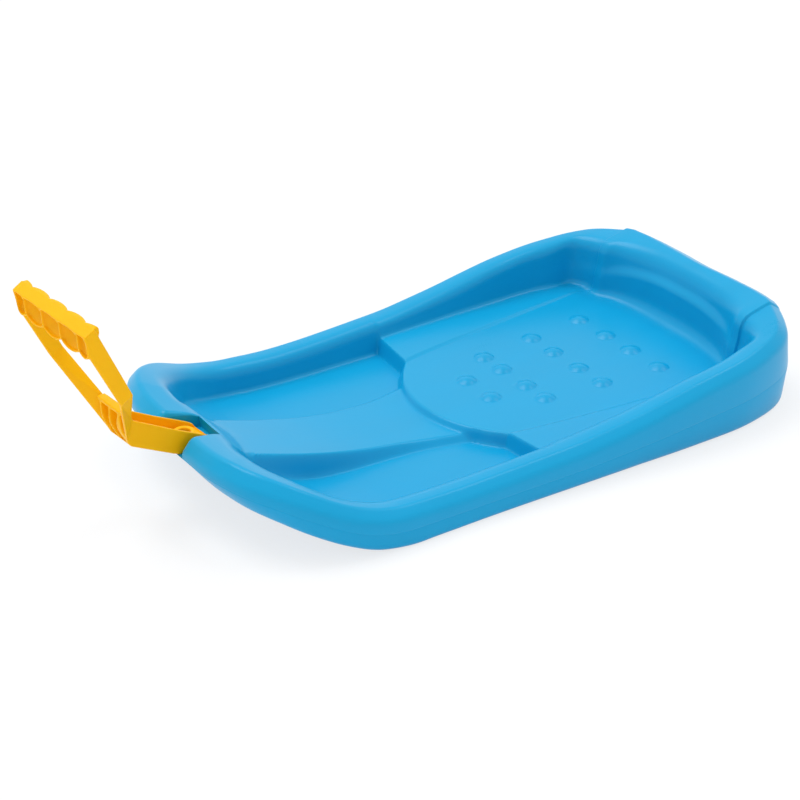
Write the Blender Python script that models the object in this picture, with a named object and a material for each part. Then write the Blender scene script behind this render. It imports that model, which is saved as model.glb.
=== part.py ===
"""Child's plastic sled: one hollow hull and a tow handle that swivels on a bolt in its nose.

Metres, +Z up, nose along +X, +Y to the left. The origin lies under the middle of the hull,
on the plane that it rests on.
"""
import math

import bmesh
import bpy
from mathutils import Vector
from mathutils.geometry import delaunay_2d_cdt

# Hull, overall
HULL_LENGTH = 0.7605
HULL_HALF_WIDTH = 0.2135
SKIN = 0.0022
REAR_X = -HULL_LENGTH / 2
NOSE_X = HULL_LENGTH / 2

# Outermost line of the hull in plan. Each point is the distance from that end of the hull
# and the distance that the line has drawn in from the widest half width.
REAR_OUTLINE = ((0.007, 0.1055), (0.032, 0.0575), (0.0655, 0.0245), (0.127, 0.005), (0.202, 0.0))
REAR_FLAT_HALF = 0.055
NOSE_OUTLINE = (
    (0.2985, 0.005), (0.2235, 0.006), (0.1585, 0.005), (0.1185, 0.0095),
    (0.0785, 0.0230), (0.0435, 0.0460), (0.0165, 0.0790), (0.0025, 0.1270),
)
NOSE_FLAT_HALF = 0.030
MID_AHEAD = 0.292
WAIST_BACK = 0.2235
SPINE_FROM_REAR = 0.257
SPINE_FROM_NOSE = 0.1845

# Crest of the rim, from the rear and back from the nose: distance, height
REAR_CREST = (
    (-0.003, 0.1075), (0.036, 0.1065), (0.052, 0.1020), (0.077, 0.0960), (0.102, 0.0925),
    (0.129, 0.0885), (0.167, 0.0837), (0.209, 0.0778), (0.251, 0.0698), (0.292, 0.0618),
    (0.332, 0.0555), (0.372, 0.0501),
)
NOSE_CREST = (
    (0.3455, 0.0471), (0.3045, 0.0446), (0.2645, 0.0426), (0.2245, 0.0417), (0.1875, 0.0429),
    (0.1505, 0.0460), (0.1085, 0.0580), (0.062, 0.0810), (0.0285, 0.0945), (0.0, 0.0990),
)
# The bottom lies flat and then curves up to the nose: distance back from the nose, height
NOSE_KEEL = (
    (0.1945, 0.0), (0.1685, 0.0), (0.1335, 0.004), (0.1035, 0.014), (0.0735, 0.028), (0.0435, 0.0435),
    (-0.0055, 0.0640),
)

# Rim and walls
RIM_SIDE = 0.036
RIM_REAR = 0.0625
RIM_NOSE = 0.0488
RIM_REAR_CORNER = 0.072
# How the wall's sizes change from the side to the nose, and to the rear and its corners
CORNER_FACING = 0.90
NOSE_BLEND = 2.5
CORNER_BLEND = 5.0
REAR_BLEND = 0.7
WALL_DRAFT_SIDE = 0.0065
WALL_DRAFT_REAR = 0.0085
WALL_DRAFT_NOSE = 0.027
FOOT_FILLET = 0.006
PARTING_SHARE = 0.45
PARTING_SHARE_NOSE = 0.48
OUTER_ROUNDING = 0.012
INNER_ROUNDING = 0.0035
BOTTOM_ROUNDING = 0.0095
BOTTOM_TUCK = 0.0045
BOTTOM_TUCK_WAIST = -0.003
ARC_SHARE = 0.3
REAR_LEAN = 0.0295
REAR_LEAN_SHARE = 0.6
NOSE_TUCK = 0.024
NOSE_TUCK_BLEND = 1.3
NOSE_SAG = 0.0035
NOSE_SAG_FACING = 0.85
CREST_ROUNDING = 0.0015
# Chamfer along the top of the back panel
BACK_CHAMFER_RUN = 0.004
BACK_CHAMFER_FALL = 0.0255
PLATFORM_HALF = 0.128
PLATFORM_RISE = 0.0035
PLATFORM_STEP = 0.004
SEAM_WIDTH = 0.003

# Seat, with a round front that steps down to the tongue
SEAT_X = -0.0883
SEAT_HEIGHT = 0.0271
SEAT_SLOPE = 0.0216
SEAT_RADIUS = 0.147
SEAT_CORNER_Y = 0.104
WING_SWEEP = 0.006
SEAT_DRAFT = 0.008
SHELF_RISE = 0.004
SHELF_NARROW_BACK = 0.285
SHELF_REAR_Y = 0.140
DOME_RADIUS = 0.0125
DOME_HEIGHT = 0.004
DOME_ROWS = (
    (-0.1336, (0.0240, 0.0766)), (-0.0549, (0.0249, 0.0691)), (0.0214, (0.0242, 0.0612)), (0.0716, (0.0245,)),
)

# Tongue between the footwells: distance back from the nose, half width, height of its top
TONGUE = (
    (0.3465, 0.067, 0.0167), (0.2945, 0.0543, 0.0173), (0.2555, 0.0485, 0.0202), (0.2185, 0.0464, 0.0241),
    (0.1815, 0.0450, 0.0304), (0.1455, 0.0448, 0.0390), (0.1105, 0.0440, 0.0486), (0.0545, 0.0430, 0.0660),
)
TONGUE_DRAFT = 0.009
# Footwell floor: distance back from the nose, height
FOOTWELL = (
    (0.3945, 0.0090), (0.2185, 0.0092), (0.1685, 0.0110), (0.1335, 0.0160), (0.1085, 0.0240),
    (0.0835, 0.0350), (0.0445, 0.0500),
)

# Slot in the nose and the swivel in it
PIVOT_BACK = 0.0185
SLOT_REAR_BACK = 0.0488
SLOT_REAR_HALF = 0.0238
SLOT_FLARE_DEG = 8.6
SLOT_FLOOR = 0.0700
SLOT_OVERRUN = 0.030
SLOT_BLOCK_WALL = 0.006
SWIVEL_FLOOR = 0.0055
HANDLE_TURN_DEG = 5.5
RUN_GAP = 0.0003
DRAIN_RADIUS = 0.005
DRAIN_FROM_REAR = 0.110

# Bolt, washers and nut
SHANK_RADIUS = 0.003
BORE_GAP = 0.0003
BOLT_HEAD_RADIUS = 0.00525
BOLT_HEAD_HEIGHT = 0.0033
SOCKET_FLATS = 0.004
SOCKET_DEPTH = 0.0018
HEAD_WASHER_RADIUS = 0.0062
FLOOR_WASHER_RADIUS = 0.009
WASHER_THICK = 0.0016
NUT_FLATS = 0.010
NUT_HEIGHT = 0.006
BOLT_TAIL = 0.0012
BOLT_POINT = 0.0006
RECESS_CLEARANCE = 0.002

# Tow handle: swivel bracket
BRACKET_HALF = 0.0195
BRACKET_WALL = 0.003
BRACKET_FLOOR = 0.0035
BRACKET_REAR = 0.0245
BRACKET_CORNER = 0.010
BOSS_RADIUS = 0.012
BOSS_TOP = 0.0159
BOSS_SEAT = 0.0062
COUNTERBORE_RADIUS = 0.0072
# Side profile of bracket and elbow, from the pivot and above the slot floor
BRACKET_UNDERSIDE = ((0.018, 0.0), (0.026, 0.0036), (0.0737, 0.0286))
ELBOW_FRONT = (
    (0.0784, 0.0368), (0.0816, 0.0443), (0.0840, 0.0512), (0.0851, 0.0583), (0.0854, 0.0652),
    (0.0856, 0.0730),
)
BRACKET_TOP = ((0.0752, 0.0730), (0.0694, 0.0572), (0.0242, 0.0321), (0.0, 0.0197), (-0.0130, 0.0130))
BRACKET_TAIL = (-0.0203, 0.0088)
ELBOW_WEB = 0.0035
ELBOW_RIB = 0.003
ELBOW_LEAN = 0.004
ELBOW_CAP_OVERHANG = 0.004
ELBOW_CAP_RISE = 0.001

# Tow handle: arms and grip. A pair is an arm's rear and front point, from the pivot and above the slot floor
ARM_THICK = 0.004
ARM_ROOT = ((0.0660, 0.0480), (0.0750, 0.0300))
ARM_START = ((0.0715, 0.0600), (0.0775, 0.0350))
ARM_BEND = ((0.0962, 0.1170), (0.1103, 0.1095))
GRIP_HALF = 0.0708
GRIP_REAR_TOP = (0.1320, 0.1985)
ARM_HEAD = ((0.1208, 0.1730), (0.1388, 0.1690))
GRIP_DEPTH = 0.0285
STRAP_RUN = 0.0112
STRAP_FALL = 0.0067
STRAP_THICK = 0.0035
STRAP_OVERHANG = 0.0012
POCKET_DROP = 0.0006
GRIP_END_ROUND = 0.012
LOBES = 5
LOBE_BULGE = 0.0048
LOBE_DROP = 0.0060
LOBE_STEPS = 6
GRIP_BELLY = 0.001
LOBE_WIDE_AT = 0.55
LOBE_FOOT_AT = 0.4
GRIP_WALL = 0.0028
GRIP_BACK = 0.0035

# How far a cutter reaches past what it cuts
TOOL_REACH = 0.3

# Samples on the hull: steps along each span of its outline
HULL_STEPS = 3
VOID_STEPS = 2

BLUE = (0.030, 0.360, 0.760, 1.0)
YELLOW = (0.960, 0.440, 0.012, 1.0)
STEEL = (0.60, 0.61, 0.63, 1.0)


def clear_scene():
    for old in list(bpy.data.objects):
        bpy.data.objects.remove(old, do_unlink=True)


def material(name, colour, roughness, metallic):
    made = bpy.data.materials.new(name)
    made.use_nodes = True
    shader = made.node_tree.nodes["Principled BSDF"]
    shader.inputs["Base Color"].default_value = colour
    shader.inputs["Roughness"].default_value = roughness
    shader.inputs["Metallic"].default_value = metallic
    return made


def clamp(value, low=0.0, high=1.0):
    return max(low, min(high, value))


def mix(a, b, share):
    return a + (b - a) * share


def catmull(points, t):
    """Point at parameter t on a smooth curve through points, one unit of t per span."""
    last = len(points) - 1
    i = min(int(t), last - 1)
    s = t - i
    p1 = points[i]
    p2 = points[i + 1]
    p0 = points[i - 1] if i > 0 else tuple(2 * a - b for a, b in zip(p1, p2))
    p3 = points[i + 2] if i + 2 <= last else tuple(2 * b - a for a, b in zip(p1, p2))
    out = []
    for a, b, c, d in zip(p0, p1, p2, p3):
        out.append(0.5 * (2 * b + (c - a) * s + (2 * a - 5 * b + 4 * c - d) * s * s
                          + (3 * b - a - 3 * c + d) * s ** 3))
    return tuple(out)


def smooth_table(points, steps=6):
    """Points along the smooth curve through a table whose first column rises."""
    count = (len(points) - 1) * steps
    return [catmull(points, i / steps) for i in range(count + 1)]


def look_up(table, x, column=1):
    if x <= table[0][0]:
        return table[0][column]
    for low, high in zip(table, table[1:]):
        if x <= high[0]:
            share = (x - low[0]) / (high[0] - low[0])
            return mix(low[column], high[column], share)
    return table[-1][column]


CREST = smooth_table([(REAR_X + d, z) for d, z in REAR_CREST] + [(NOSE_X - d, z) for d, z in NOSE_CREST])
KEEL = smooth_table([(NOSE_X - d, z) for d, z in NOSE_KEEL])
TONGUE_LINE = smooth_table([(NOSE_X - d, half, z) for d, half, z in TONGUE])
FOOTWELL_LINE = smooth_table([(NOSE_X - d, z) for d, z in FOOTWELL])


def outline_points():
    """Half outline, from the middle of the rear to the middle of the nose."""
    points = [(REAR_X, 0.0), (REAR_X, REAR_FLAT_HALF)]
    points += [(REAR_X + d, HULL_HALF_WIDTH - drawn) for d, drawn in REAR_OUTLINE]
    points.append((REAR_X + MID_AHEAD, HULL_HALF_WIDTH))
    points += [(NOSE_X - d, HULL_HALF_WIDTH - drawn) for d, drawn in NOSE_OUTLINE]
    points += [(NOSE_X, NOSE_FLAT_HALF), (NOSE_X, 0.0)]
    return points


OUTLINE = outline_points()
SPANS = len(OUTLINE) - 1


def station(t):
    """Outline point and the outward direction there, square to a spine along the hull's middle."""
    spot = Vector(catmull(OUTLINE, t))
    spine_x = clamp(spot.x, REAR_X + SPINE_FROM_REAR, NOSE_X - SPINE_FROM_NOSE)
    outward = Vector((spot.x - spine_x, spot.y))
    return spot, outward.normalized()


def by_facing(outward, side, rear, nose, rear_corner=None):
    """A size blended by which way the wall faces: the sides, the rear, its corners or the nose."""
    if rear_corner is None:
        rear_corner = mix(side, rear, CORNER_FACING ** NOSE_BLEND)
    if outward.x >= 0.0:
        return mix(side, nose, outward.x ** NOSE_BLEND)
    facing = -outward.x
    if facing > CORNER_FACING:
        return mix(rear_corner, rear, ((facing - CORNER_FACING) / (1.0 - CORNER_FACING)) ** REAR_BLEND)
    return mix(side, rear_corner, (facing / CORNER_FACING) ** CORNER_BLEND)


def seat_edge(x, y):
    """Distance ahead of the seat's front edge, negative on the seat."""
    dx = x - SEAT_X
    corner_x = math.sqrt(SEAT_RADIUS ** 2 - SEAT_CORNER_Y ** 2)
    wing_run = HULL_HALF_WIDTH - RIM_SIDE - SEAT_CORNER_Y
    lean = math.atan2(WING_SWEEP, wing_run)
    ahead = (dx - corner_x) * math.cos(lean) + (abs(y) - SEAT_CORNER_Y) * math.sin(lean)
    return min(math.hypot(dx, y) - SEAT_RADIUS, ahead)


def shelf_crease(x):
    """Half width of the flat part of the seat, where its side shelves begin."""
    corner_x = math.sqrt(SEAT_RADIUS ** 2 - SEAT_CORNER_Y ** 2)
    share = clamp((SEAT_X + corner_x - x) / SHELF_NARROW_BACK)
    return mix(SEAT_CORNER_Y, SHELF_REAR_Y, share ** 0.8)


def dome_centres():
    for dx, halves in DOME_ROWS:
        for half in halves:
            yield SEAT_X + dx, half
            yield SEAT_X + dx, -half


def floor_height(x, y, domes=True):
    """Height of the pan's inner floor."""
    crease = shelf_crease(x)
    shelf_width = HULL_HALF_WIDTH - RIM_SIDE - crease
    seat = SEAT_HEIGHT - SEAT_SLOPE * (x - SEAT_X)
    seat += SHELF_RISE * clamp((abs(y) - crease) / shelf_width)
    if domes:
        for cx, cy in dome_centres():
            away = math.hypot(x - cx, y - cy) / DOME_RADIUS
            if away < 1.0:
                seat += DOME_HEIGHT * (1.0 - away * away)
    ahead = seat_edge(x, y)
    if ahead <= 0.0:
        return seat
    beside = abs(y) - look_up(TONGUE_LINE, x, 1)
    front = mix(look_up(TONGUE_LINE, x, 2), look_up(FOOTWELL_LINE, x), clamp(beside / TONGUE_DRAFT))
    return mix(seat, front, clamp(ahead / SEAT_DRAFT))


def section(t, domes, platform):
    """Points across the hull's wall at one place of its outline, from the floor outwards and down."""
    spot, normal = station(t)
    rim = by_facing(normal, RIM_SIDE, RIM_REAR, RIM_NOSE, RIM_REAR_CORNER)
    draft = by_facing(normal, WALL_DRAFT_SIDE, WALL_DRAFT_REAR, WALL_DRAFT_NOSE)
    lean = by_facing(normal, 0.0, REAR_LEAN, 0.0)
    tuck = NOSE_TUCK * max(normal.x, 0.0) ** NOSE_TUCK_BLEND
    waist = clamp((spot.x - SEAT_X) / (NOSE_X - WAIST_BACK - SEAT_X))
    wall_low = mix(BOTTOM_TUCK, BOTTOM_TUCK_WAIST, waist)
    rise = 0.0
    step = 0.0
    if platform and normal.x < 0.0 and spot.y < PLATFORM_HALF:
        rise = PLATFORM_RISE
        step = PLATFORM_STEP

    def at(inset, height):
        return Vector((spot.x - normal.x * inset, spot.y - normal.y * inset, height))

    def crest(inset):
        sag = NOSE_SAG * clamp((normal.x - NOSE_SAG_FACING) / (1.0 - NOSE_SAG_FACING))
        return look_up(CREST, at(inset, 0.0).x) - sag

    inner = rim + step
    bottom = look_up(KEEL, at(wall_low + BOTTOM_ROUNDING + tuck, 0.0).x)
    corner = at(inner + draft, 0.0)
    corner.z = floor_height(corner.x, corner.y, domes)
    chamfer_run = by_facing(normal, 0.0, BACK_CHAMFER_RUN, 0.0, 0.0)
    edge_fall = 4 * CREST_ROUNDING
    chamfer_fall = by_facing(normal, edge_fall, BACK_CHAMFER_FALL, edge_fall, edge_fall)
    edge = at(inner + INNER_ROUNDING, crest(inner) - chamfer_fall + rise)
    inward = at(inner + draft + FOOT_FILLET, 0.0)
    inward.z = floor_height(inward.x, inward.y, domes)
    up = (edge - corner).normalized() * FOOT_FILLET
    wall_foot = corner + up
    middle = (wall_foot + 2 * corner + inward) / 4
    parting = mix(bottom, crest(0.0), by_facing(normal, PARTING_SHARE, PARTING_SHARE, PARTING_SHARE_NOSE))
    shoulder = crest(OUTER_ROUNDING) - OUTER_ROUNDING
    outer_crest = OUTER_ROUNDING + lean
    mid_crest = (inner - chamfer_run + outer_crest) / 2
    bend = OUTER_ROUNDING * ARC_SHARE
    low_bend = BOTTOM_ROUNDING * ARC_SHARE
    return [
        inward, middle, wall_foot, edge,
        at(inner - chamfer_run, crest(inner) - CREST_ROUNDING + rise),
        at(mid_crest, crest(mid_crest) + rise),
        at(outer_crest, crest(outer_crest) + rise),
        at(bend + lean, crest(outer_crest) - bend + rise),
        at(lean * REAR_LEAN_SHARE, shoulder + rise / 2),
        at(0.0, parting),
        at(wall_low + tuck * (1.0 - ARC_SHARE), bottom + BOTTOM_ROUNDING),
        at(wall_low + low_bend + tuck * (1.0 - ARC_SHARE ** 2), bottom + low_bend),
        at(wall_low + BOTTOM_ROUNDING + tuck, bottom),
    ]


def solve(value, low, high):
    """Parameter between low and high at which value crosses zero."""
    sign = value(low) > 0
    for _ in range(40):
        middle = (low + high) / 2
        if (value(middle) > 0) == sign:
            low = middle
        else:
            high = middle
    return (low + high) / 2


def foot_edge(t):
    """Distance ahead of the seat's edge, at the foot of the side wall."""
    foot = section(t, False, False)[0]
    return seat_edge(foot.x, foot.y)


def stations(steps, platform):
    """Parameters of the sections, with pairs at the seat's step and at the platform's ends."""
    marks = [solve(foot_edge, 3.0, SPANS - 4.0)]
    marks.append(solve(lambda t: foot_edge(t) - SEAT_DRAFT, 3.0, SPANS - 4.0))
    step_marks = list(marks)
    if platform:
        seam = solve(lambda t: station(t)[0].y - PLATFORM_HALF, 1.0, 5.0)
        wide = solve(lambda t: station(t)[0].y - PLATFORM_HALF - SEAM_WIDTH, 1.0, 5.0)
        marks += [seam - 0.0005, wide]
    even = [i / steps for i in range(SPANS * steps + 1)]
    kept = [t for t in even if all(abs(t - mark) > 0.35 / steps for mark in marks)]
    return sorted(kept + marks), step_marks


def well_inside(line, border, gap=0.0025):
    """The points of a line that lie inside a closed plan outline and clear of it."""
    def clear(spot):
        for start, end in zip(border, border[1:] + border[:1]):
            run = Vector(end) - Vector(start)
            share = clamp((Vector(spot) - Vector(start)).dot(run) / run.length_squared)
            if (Vector(start) + run * share - Vector(spot)).length < gap:
                return False
        return True

    return [spot for spot in line if inside(spot, border) and clear(spot)]


def between(start, end, count):
    return [(mix(start[0], end[0], i / count), mix(start[1], end[1], i / count)) for i in range(count + 1)]


def seat_front(offset):
    """Front edge of the seat in plan, moved ahead by offset, from the left corner to the right."""
    radius = SEAT_RADIUS + offset

    def off_wing(angle):
        return seat_edge(SEAT_X + radius * math.cos(angle), radius * math.sin(angle)) - offset

    corner = solve(lambda angle: off_wing(angle) + 1e-7, 0.0, math.pi / 2)
    count = 10
    angles = [mix(corner, -corner, i / count) for i in range(count + 1)]
    return [(SEAT_X + radius * math.cos(a), radius * math.sin(a)) for a in angles]


def tongue_side(side, offset):
    start = SEAT_X + SEAT_RADIUS * 0.86
    xs = [mix(start, NOSE_X - TONGUE[-1][0], i / 12) for i in range(13)]
    return [(x, side * (look_up(TONGUE_LINE, x, 1) + offset)) for x in xs]


def shelf_line(side):
    start = SEAT_X + math.sqrt(SEAT_RADIUS ** 2 - SEAT_CORNER_Y ** 2) - 0.004
    xs = [start - SHELF_NARROW_BACK * i / 6 for i in range(7)]
    return [(x, side * shelf_crease(x)) for x in xs]


def inside(spot, border):
    """Whether a point lies inside a closed plan outline."""
    within = False
    for start, end in zip(border, border[1:] + border[:1]):
        if (start[1] > spot[1]) != (end[1] > spot[1]):
            if spot[0] < mix(start[0], end[0], (spot[1] - start[1]) / (end[1] - start[1])):
                within = not within
    return within


class PlanFill:
    """Triangles inside a closed loop of points, which keep to the lines and spots added."""

    def __init__(self, loop):
        self.border = [(p.x, p.y) for p in loop]
        self.count = len(loop)
        self.points = list(self.border)
        self.edges = []

    def add_line(self, line, ends=(None, None)):
        """A line of plan points. An end may be the index of one of the loop's own points."""
        before = None
        for i, spot in enumerate(line):
            index = ends[0] if i == 0 else ends[1] if i == len(line) - 1 else None
            if index is None:
                self.points.append(spot)
                index = len(self.points) - 1
            if before is not None:
                self.edges.append((before, index))
            before = index

    def add_clipped(self, line):
        self.add_line(well_inside(line, self.border))

    def into(self, mesh, own, height):
        """Adds the triangles to a mesh, with own as the loop's vertices and height for the others."""
        face = list(range(self.count))
        if signed_area(self.border) < 0:
            face.reverse()
        coords = [Vector(p) for p in self.points]
        spots, _, triangles, origins, _, _ = delaunay_2d_cdt(coords, self.edges, [face], 0, 1e-6, True)
        made = {}
        for triangle in triangles:
            middle = sum((spots[i] for i in triangle), Vector((0.0, 0.0))) / 3
            if not inside(middle, self.border):
                continue
            for i in triangle:
                if i in made:
                    continue
                loop_own = [k for k in origins[i] if k < self.count]
                if loop_own:
                    made[i] = own[loop_own[0]]
                else:
                    x, y = spots[i]
                    made[i] = mesh.verts.new((x, y, height(x, y)))
            mesh.faces.new([made[i] for i in triangle])


def signed_area(border):
    return sum(a[0] * b[1] - b[0] * a[1] for a, b in zip(border, border[1:] + border[:1])) / 2


def fill_floor(mesh, own, step_index, domes):
    """The pan's floor, inside the foot of its walls."""
    fill = PlanFill([vert.co for vert in own])
    for offset, index in zip((0.0, SEAT_DRAFT), step_index):
        line = seat_front(offset)
        left = (own[index].co.x, own[index].co.y)
        right = (left[0], -left[1])
        fill.add_line([left] + line + [right], (index, len(own) - index))
    for side in (-1, 1):
        for offset in (0.0, TONGUE_DRAFT):
            fill.add_clipped(tongue_side(side, offset))
        fill.add_clipped(shelf_line(side))
    for back, _ in FOOTWELL[1:-1]:
        x = NOSE_X - back
        half = look_up(TONGUE_LINE, x, 1)
        for side in (-1, 1):
            outer = (x, side * (half + TONGUE_DRAFT + 0.003))
            fill.add_clipped(between(outer, (x, side * HULL_HALF_WIDTH), 12))
        fill.add_clipped(between((x, 0.003 - half), (x, half - 0.003), 3))
    if domes:
        for cx, cy in dome_centres():
            fill.points.append((cx, cy))
            rim = circle(DOME_RADIUS, 12, cx, cy)
            fill.add_line(rim + rim[:1])
            fill.points.extend(circle(DOME_RADIUS * 0.62, 8, cx, cy))
    fill.into(mesh, own, lambda x, y: floor_height(x, y, domes))


def fill_bottom(mesh, own):
    """The underside, which curves up to the nose."""
    fill = PlanFill([vert.co for vert in own])
    for x, _ in smooth_table([(NOSE_X - d, z) for d, z in NOSE_KEEL], 2):
        fill.add_clipped(between((x, -HULL_HALF_WIDTH), (x, HULL_HALF_WIDTH), 16))
    fill.into(mesh, own, lambda x, y: look_up(KEEL, x))


def hull_shell(steps, detail):
    """Closed outer surface of the hull as a bmesh."""
    params, step_marks = stations(steps, detail)
    half = [section(t, detail, detail) for t in params]
    for end in (half[0], half[-1]):
        for point in end:
            point.y = 0.0
    last = len(half) - 1
    ring = half + [[Vector((p.x, -p.y, p.z)) for p in column] for column in reversed(half[1:last])]
    count = len(ring)
    mesh = bmesh.new()
    grid = [[mesh.verts.new(point) for point in column] for column in ring]
    for i in range(count):
        here = grid[i]
        there = grid[(i + 1) % count]
        for row in range(len(here) - 1):
            mesh.faces.new((here[row], there[row], there[row + 1], here[row + 1]))
    fill_floor(mesh, [column[0] for column in grid], [params.index(mark) for mark in step_marks], detail)
    fill_bottom(mesh, [column[-1] for column in grid])
    bmesh.ops.triangulate(mesh, faces=mesh.faces)
    bmesh.ops.recalc_face_normals(mesh, faces=mesh.faces)
    return mesh


def to_object(name, mesh, shader=None):
    data = bpy.data.meshes.new(name)
    mesh.to_mesh(data)
    mesh.free()
    made = bpy.data.objects.new(name, data)
    bpy.context.collection.objects.link(made)
    if shader is not None:
        data.materials.append(shader)
    return made


def hide_tool(tool):
    tool.hide_render = True
    tool.display_type = "WIRE"
    return tool


def cut(target, tool, operation="DIFFERENCE"):
    modifier = target.modifiers.new(tool.name, "BOOLEAN")
    modifier.operation = operation
    modifier.solver = "EXACT"
    modifier.object = hide_tool(tool)


def apply_cuts(target):
    """Replace an object's mesh by its evaluated one and drop the tools that shaped it."""
    tools = [m.object for m in target.modifiers]
    graph = bpy.context.evaluated_depsgraph_get()
    baked = bpy.data.meshes.new_from_object(target.evaluated_get(graph))
    target.modifiers.clear()
    target.data = baked
    for tool in tools:
        bpy.data.objects.remove(tool, do_unlink=True)


def prism(name, outline, low, high, axis="Z", shader=None):
    """Closed solid from an outline. Along Z the outline is x, y; along Y it is x, z."""
    mesh = bmesh.new()
    if axis == "Z":
        verts = [mesh.verts.new((a, b, low)) for a, b in outline]
        move = Vector((0.0, 0.0, high - low))
    else:
        verts = [mesh.verts.new((a, low, b)) for a, b in outline]
        move = Vector((0.0, high - low, 0.0))
    base = mesh.faces.new(verts)
    out = bmesh.ops.extrude_face_region(mesh, geom=[base])
    bmesh.ops.translate(mesh, vec=move, verts=[v for v in out["geom"] if isinstance(v, bmesh.types.BMVert)])
    bmesh.ops.recalc_face_normals(mesh, faces=mesh.faces)
    return to_object(name, mesh, shader)


def circle(radius, sides, x=0.0, y=0.0, turn=0.0):
    steps = [math.tau * i / sides + turn for i in range(sides)]
    return [(x + radius * math.cos(a), y + radius * math.sin(a)) for a in steps]


def turned(name, profile, sides, x, shader):
    """Solid turned about the vertical through (x, 0) from a profile of radius, height.

    A profile that doesn't start on the axis closes on itself, as a washer's does.
    """
    mesh = bmesh.new()
    rings = []
    for radius, height in profile:
        if radius == 0.0:
            rings.append([mesh.verts.new((x, 0.0, height))])
        else:
            rings.append([mesh.verts.new((a, b, height)) for a, b in circle(radius, sides, x)])
    pairs = list(zip(rings, rings[1:]))
    if profile[0][0] > 0.0:
        pairs.append((rings[-1], rings[0]))
    for one, two in pairs:
        for i in range(sides):
            j = (i + 1) % sides
            face = [one[i % len(one)], one[j % len(one)], two[j % len(two)], two[i % len(two)]]
            corners = []
            for vert in face:
                if vert not in corners:
                    corners.append(vert)
            mesh.faces.new(corners)
    bmesh.ops.recalc_face_normals(mesh, faces=mesh.faces)
    made = to_object(name, mesh, shader)
    made.data.shade_smooth()
    made.data.set_sharp_from_angle(angle=math.radians(35))
    return made


PIVOT_X = NOSE_X - PIVOT_BACK
BORE_RADIUS = SHANK_RADIUS + BORE_GAP
SWIVEL_CEILING = SLOT_FLOOR - SWIVEL_FLOOR
RECESS_RADIUS = FLOOR_WASHER_RADIUS + RECESS_CLEARANCE


def slot_half(x):
    behind = x - (NOSE_X - SLOT_REAR_BACK)
    return SLOT_REAR_HALF + behind * math.tan(math.radians(SLOT_FLARE_DEG))


def slot_outline(grow):
    rear = NOSE_X - SLOT_REAR_BACK - grow
    front = NOSE_X + SLOT_OVERRUN
    return [(rear, -slot_half(rear + grow) - grow), (front, -slot_half(front) - grow),
            (front, slot_half(front) + grow), (rear, slot_half(rear + grow) + grow)]


def make_void():
    """Inner surface of the hollow hull: its shell moved in by the skin, less the solid nose block."""
    mesh = hull_shell(VOID_STEPS, False)
    mesh.normal_update()
    moves = [vert.normal * SKIN * min(vert.calc_shell_factor(), 1.6) for vert in mesh.verts]
    for vert, move in zip(mesh.verts, moves):
        vert.co -= move
    void = to_object("hull_void", mesh)
    cut(void, prism("nose_block", slot_outline(SLOT_BLOCK_WALL), -TOOL_REACH, TOOL_REACH))
    return void


def make_hull(shader):
    hull = to_object("hull", hull_shell(HULL_STEPS, True), shader)
    cut(hull, make_void())
    cut(hull, prism("slot_cut", slot_outline(0.0), SLOT_FLOOR, TOOL_REACH))
    cut(hull, prism("swivel_bore", circle(BORE_RADIUS, 24, PIVOT_X), 0.0, TOOL_REACH))
    cut(hull, prism("nut_recess", circle(RECESS_RADIUS, 32, PIVOT_X), -TOOL_REACH, SWIVEL_CEILING))
    drain_x = REAR_X + DRAIN_FROM_REAR
    cut(hull, prism("drain_hole", circle(DRAIN_RADIUS, 20, drain_x), -TOOL_REACH, SKIN * 2.5))
    hull.data.shade_smooth()
    hull.data.set_sharp_from_angle(angle=math.radians(40))
    return hull


def bracket_profile():
    """Side outline of bracket and elbow: x ahead of the pivot, height in the world."""
    low = SLOT_FLOOR + RUN_GAP
    points = [(-BRACKET_REAR, low)]
    points += [(x, low + h) for x, h in BRACKET_UNDERSIDE]
    points += [(x, SLOT_FLOOR + h) for x, h in ELBOW_FRONT]
    points += [(x, SLOT_FLOOR + h) for x, h in BRACKET_TOP]
    points.append((BRACKET_TAIL[0], SLOT_FLOOR + BRACKET_TAIL[1]))
    return points


def bracket_plan(wall):
    """Plan outline of the bracket moved in by a wall, with a round at each rear corner."""
    radius = BRACKET_CORNER - wall
    cx = BRACKET_CORNER - BRACKET_REAR
    cy = BRACKET_HALF - BRACKET_CORNER
    turns = [math.radians(90 + 15 * i) for i in range(7)]
    left = [(cx + radius * math.cos(a), cy + radius * math.sin(a)) for a in turns]
    front = [(TOOL_REACH, wall - BRACKET_HALF), (TOOL_REACH, BRACKET_HALF - wall)]
    return front + left + [(x, -y) for x, y in reversed(left)]


def bracket_pocket():
    """Cutter for the inside of the bracket, open at the top."""
    flat_end, rise_start, rise_end = BRACKET_UNDERSIDE
    floor = SLOT_FLOOR + RUN_GAP + BRACKET_FLOOR
    slope = (rise_end[1] - rise_start[1]) / (rise_end[0] - rise_start[0])
    front = BRACKET_TOP[1][0]
    outline = [
        (-TOOL_REACH, floor), (flat_end[0], floor), (rise_start[0], floor + rise_start[1]),
        (front, floor + rise_start[1] + slope * (front - rise_start[0])),
        (front, TOOL_REACH), (-TOOL_REACH, TOOL_REACH),
    ]
    tool = prism("bracket_pocket", outline, -BRACKET_HALF, BRACKET_HALF, "Y")
    cut(tool, prism("pocket_plan", bracket_plan(BRACKET_WALL), 0.0, TOOL_REACH), "INTERSECT")
    apply_cuts(tool)
    return tool


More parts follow.
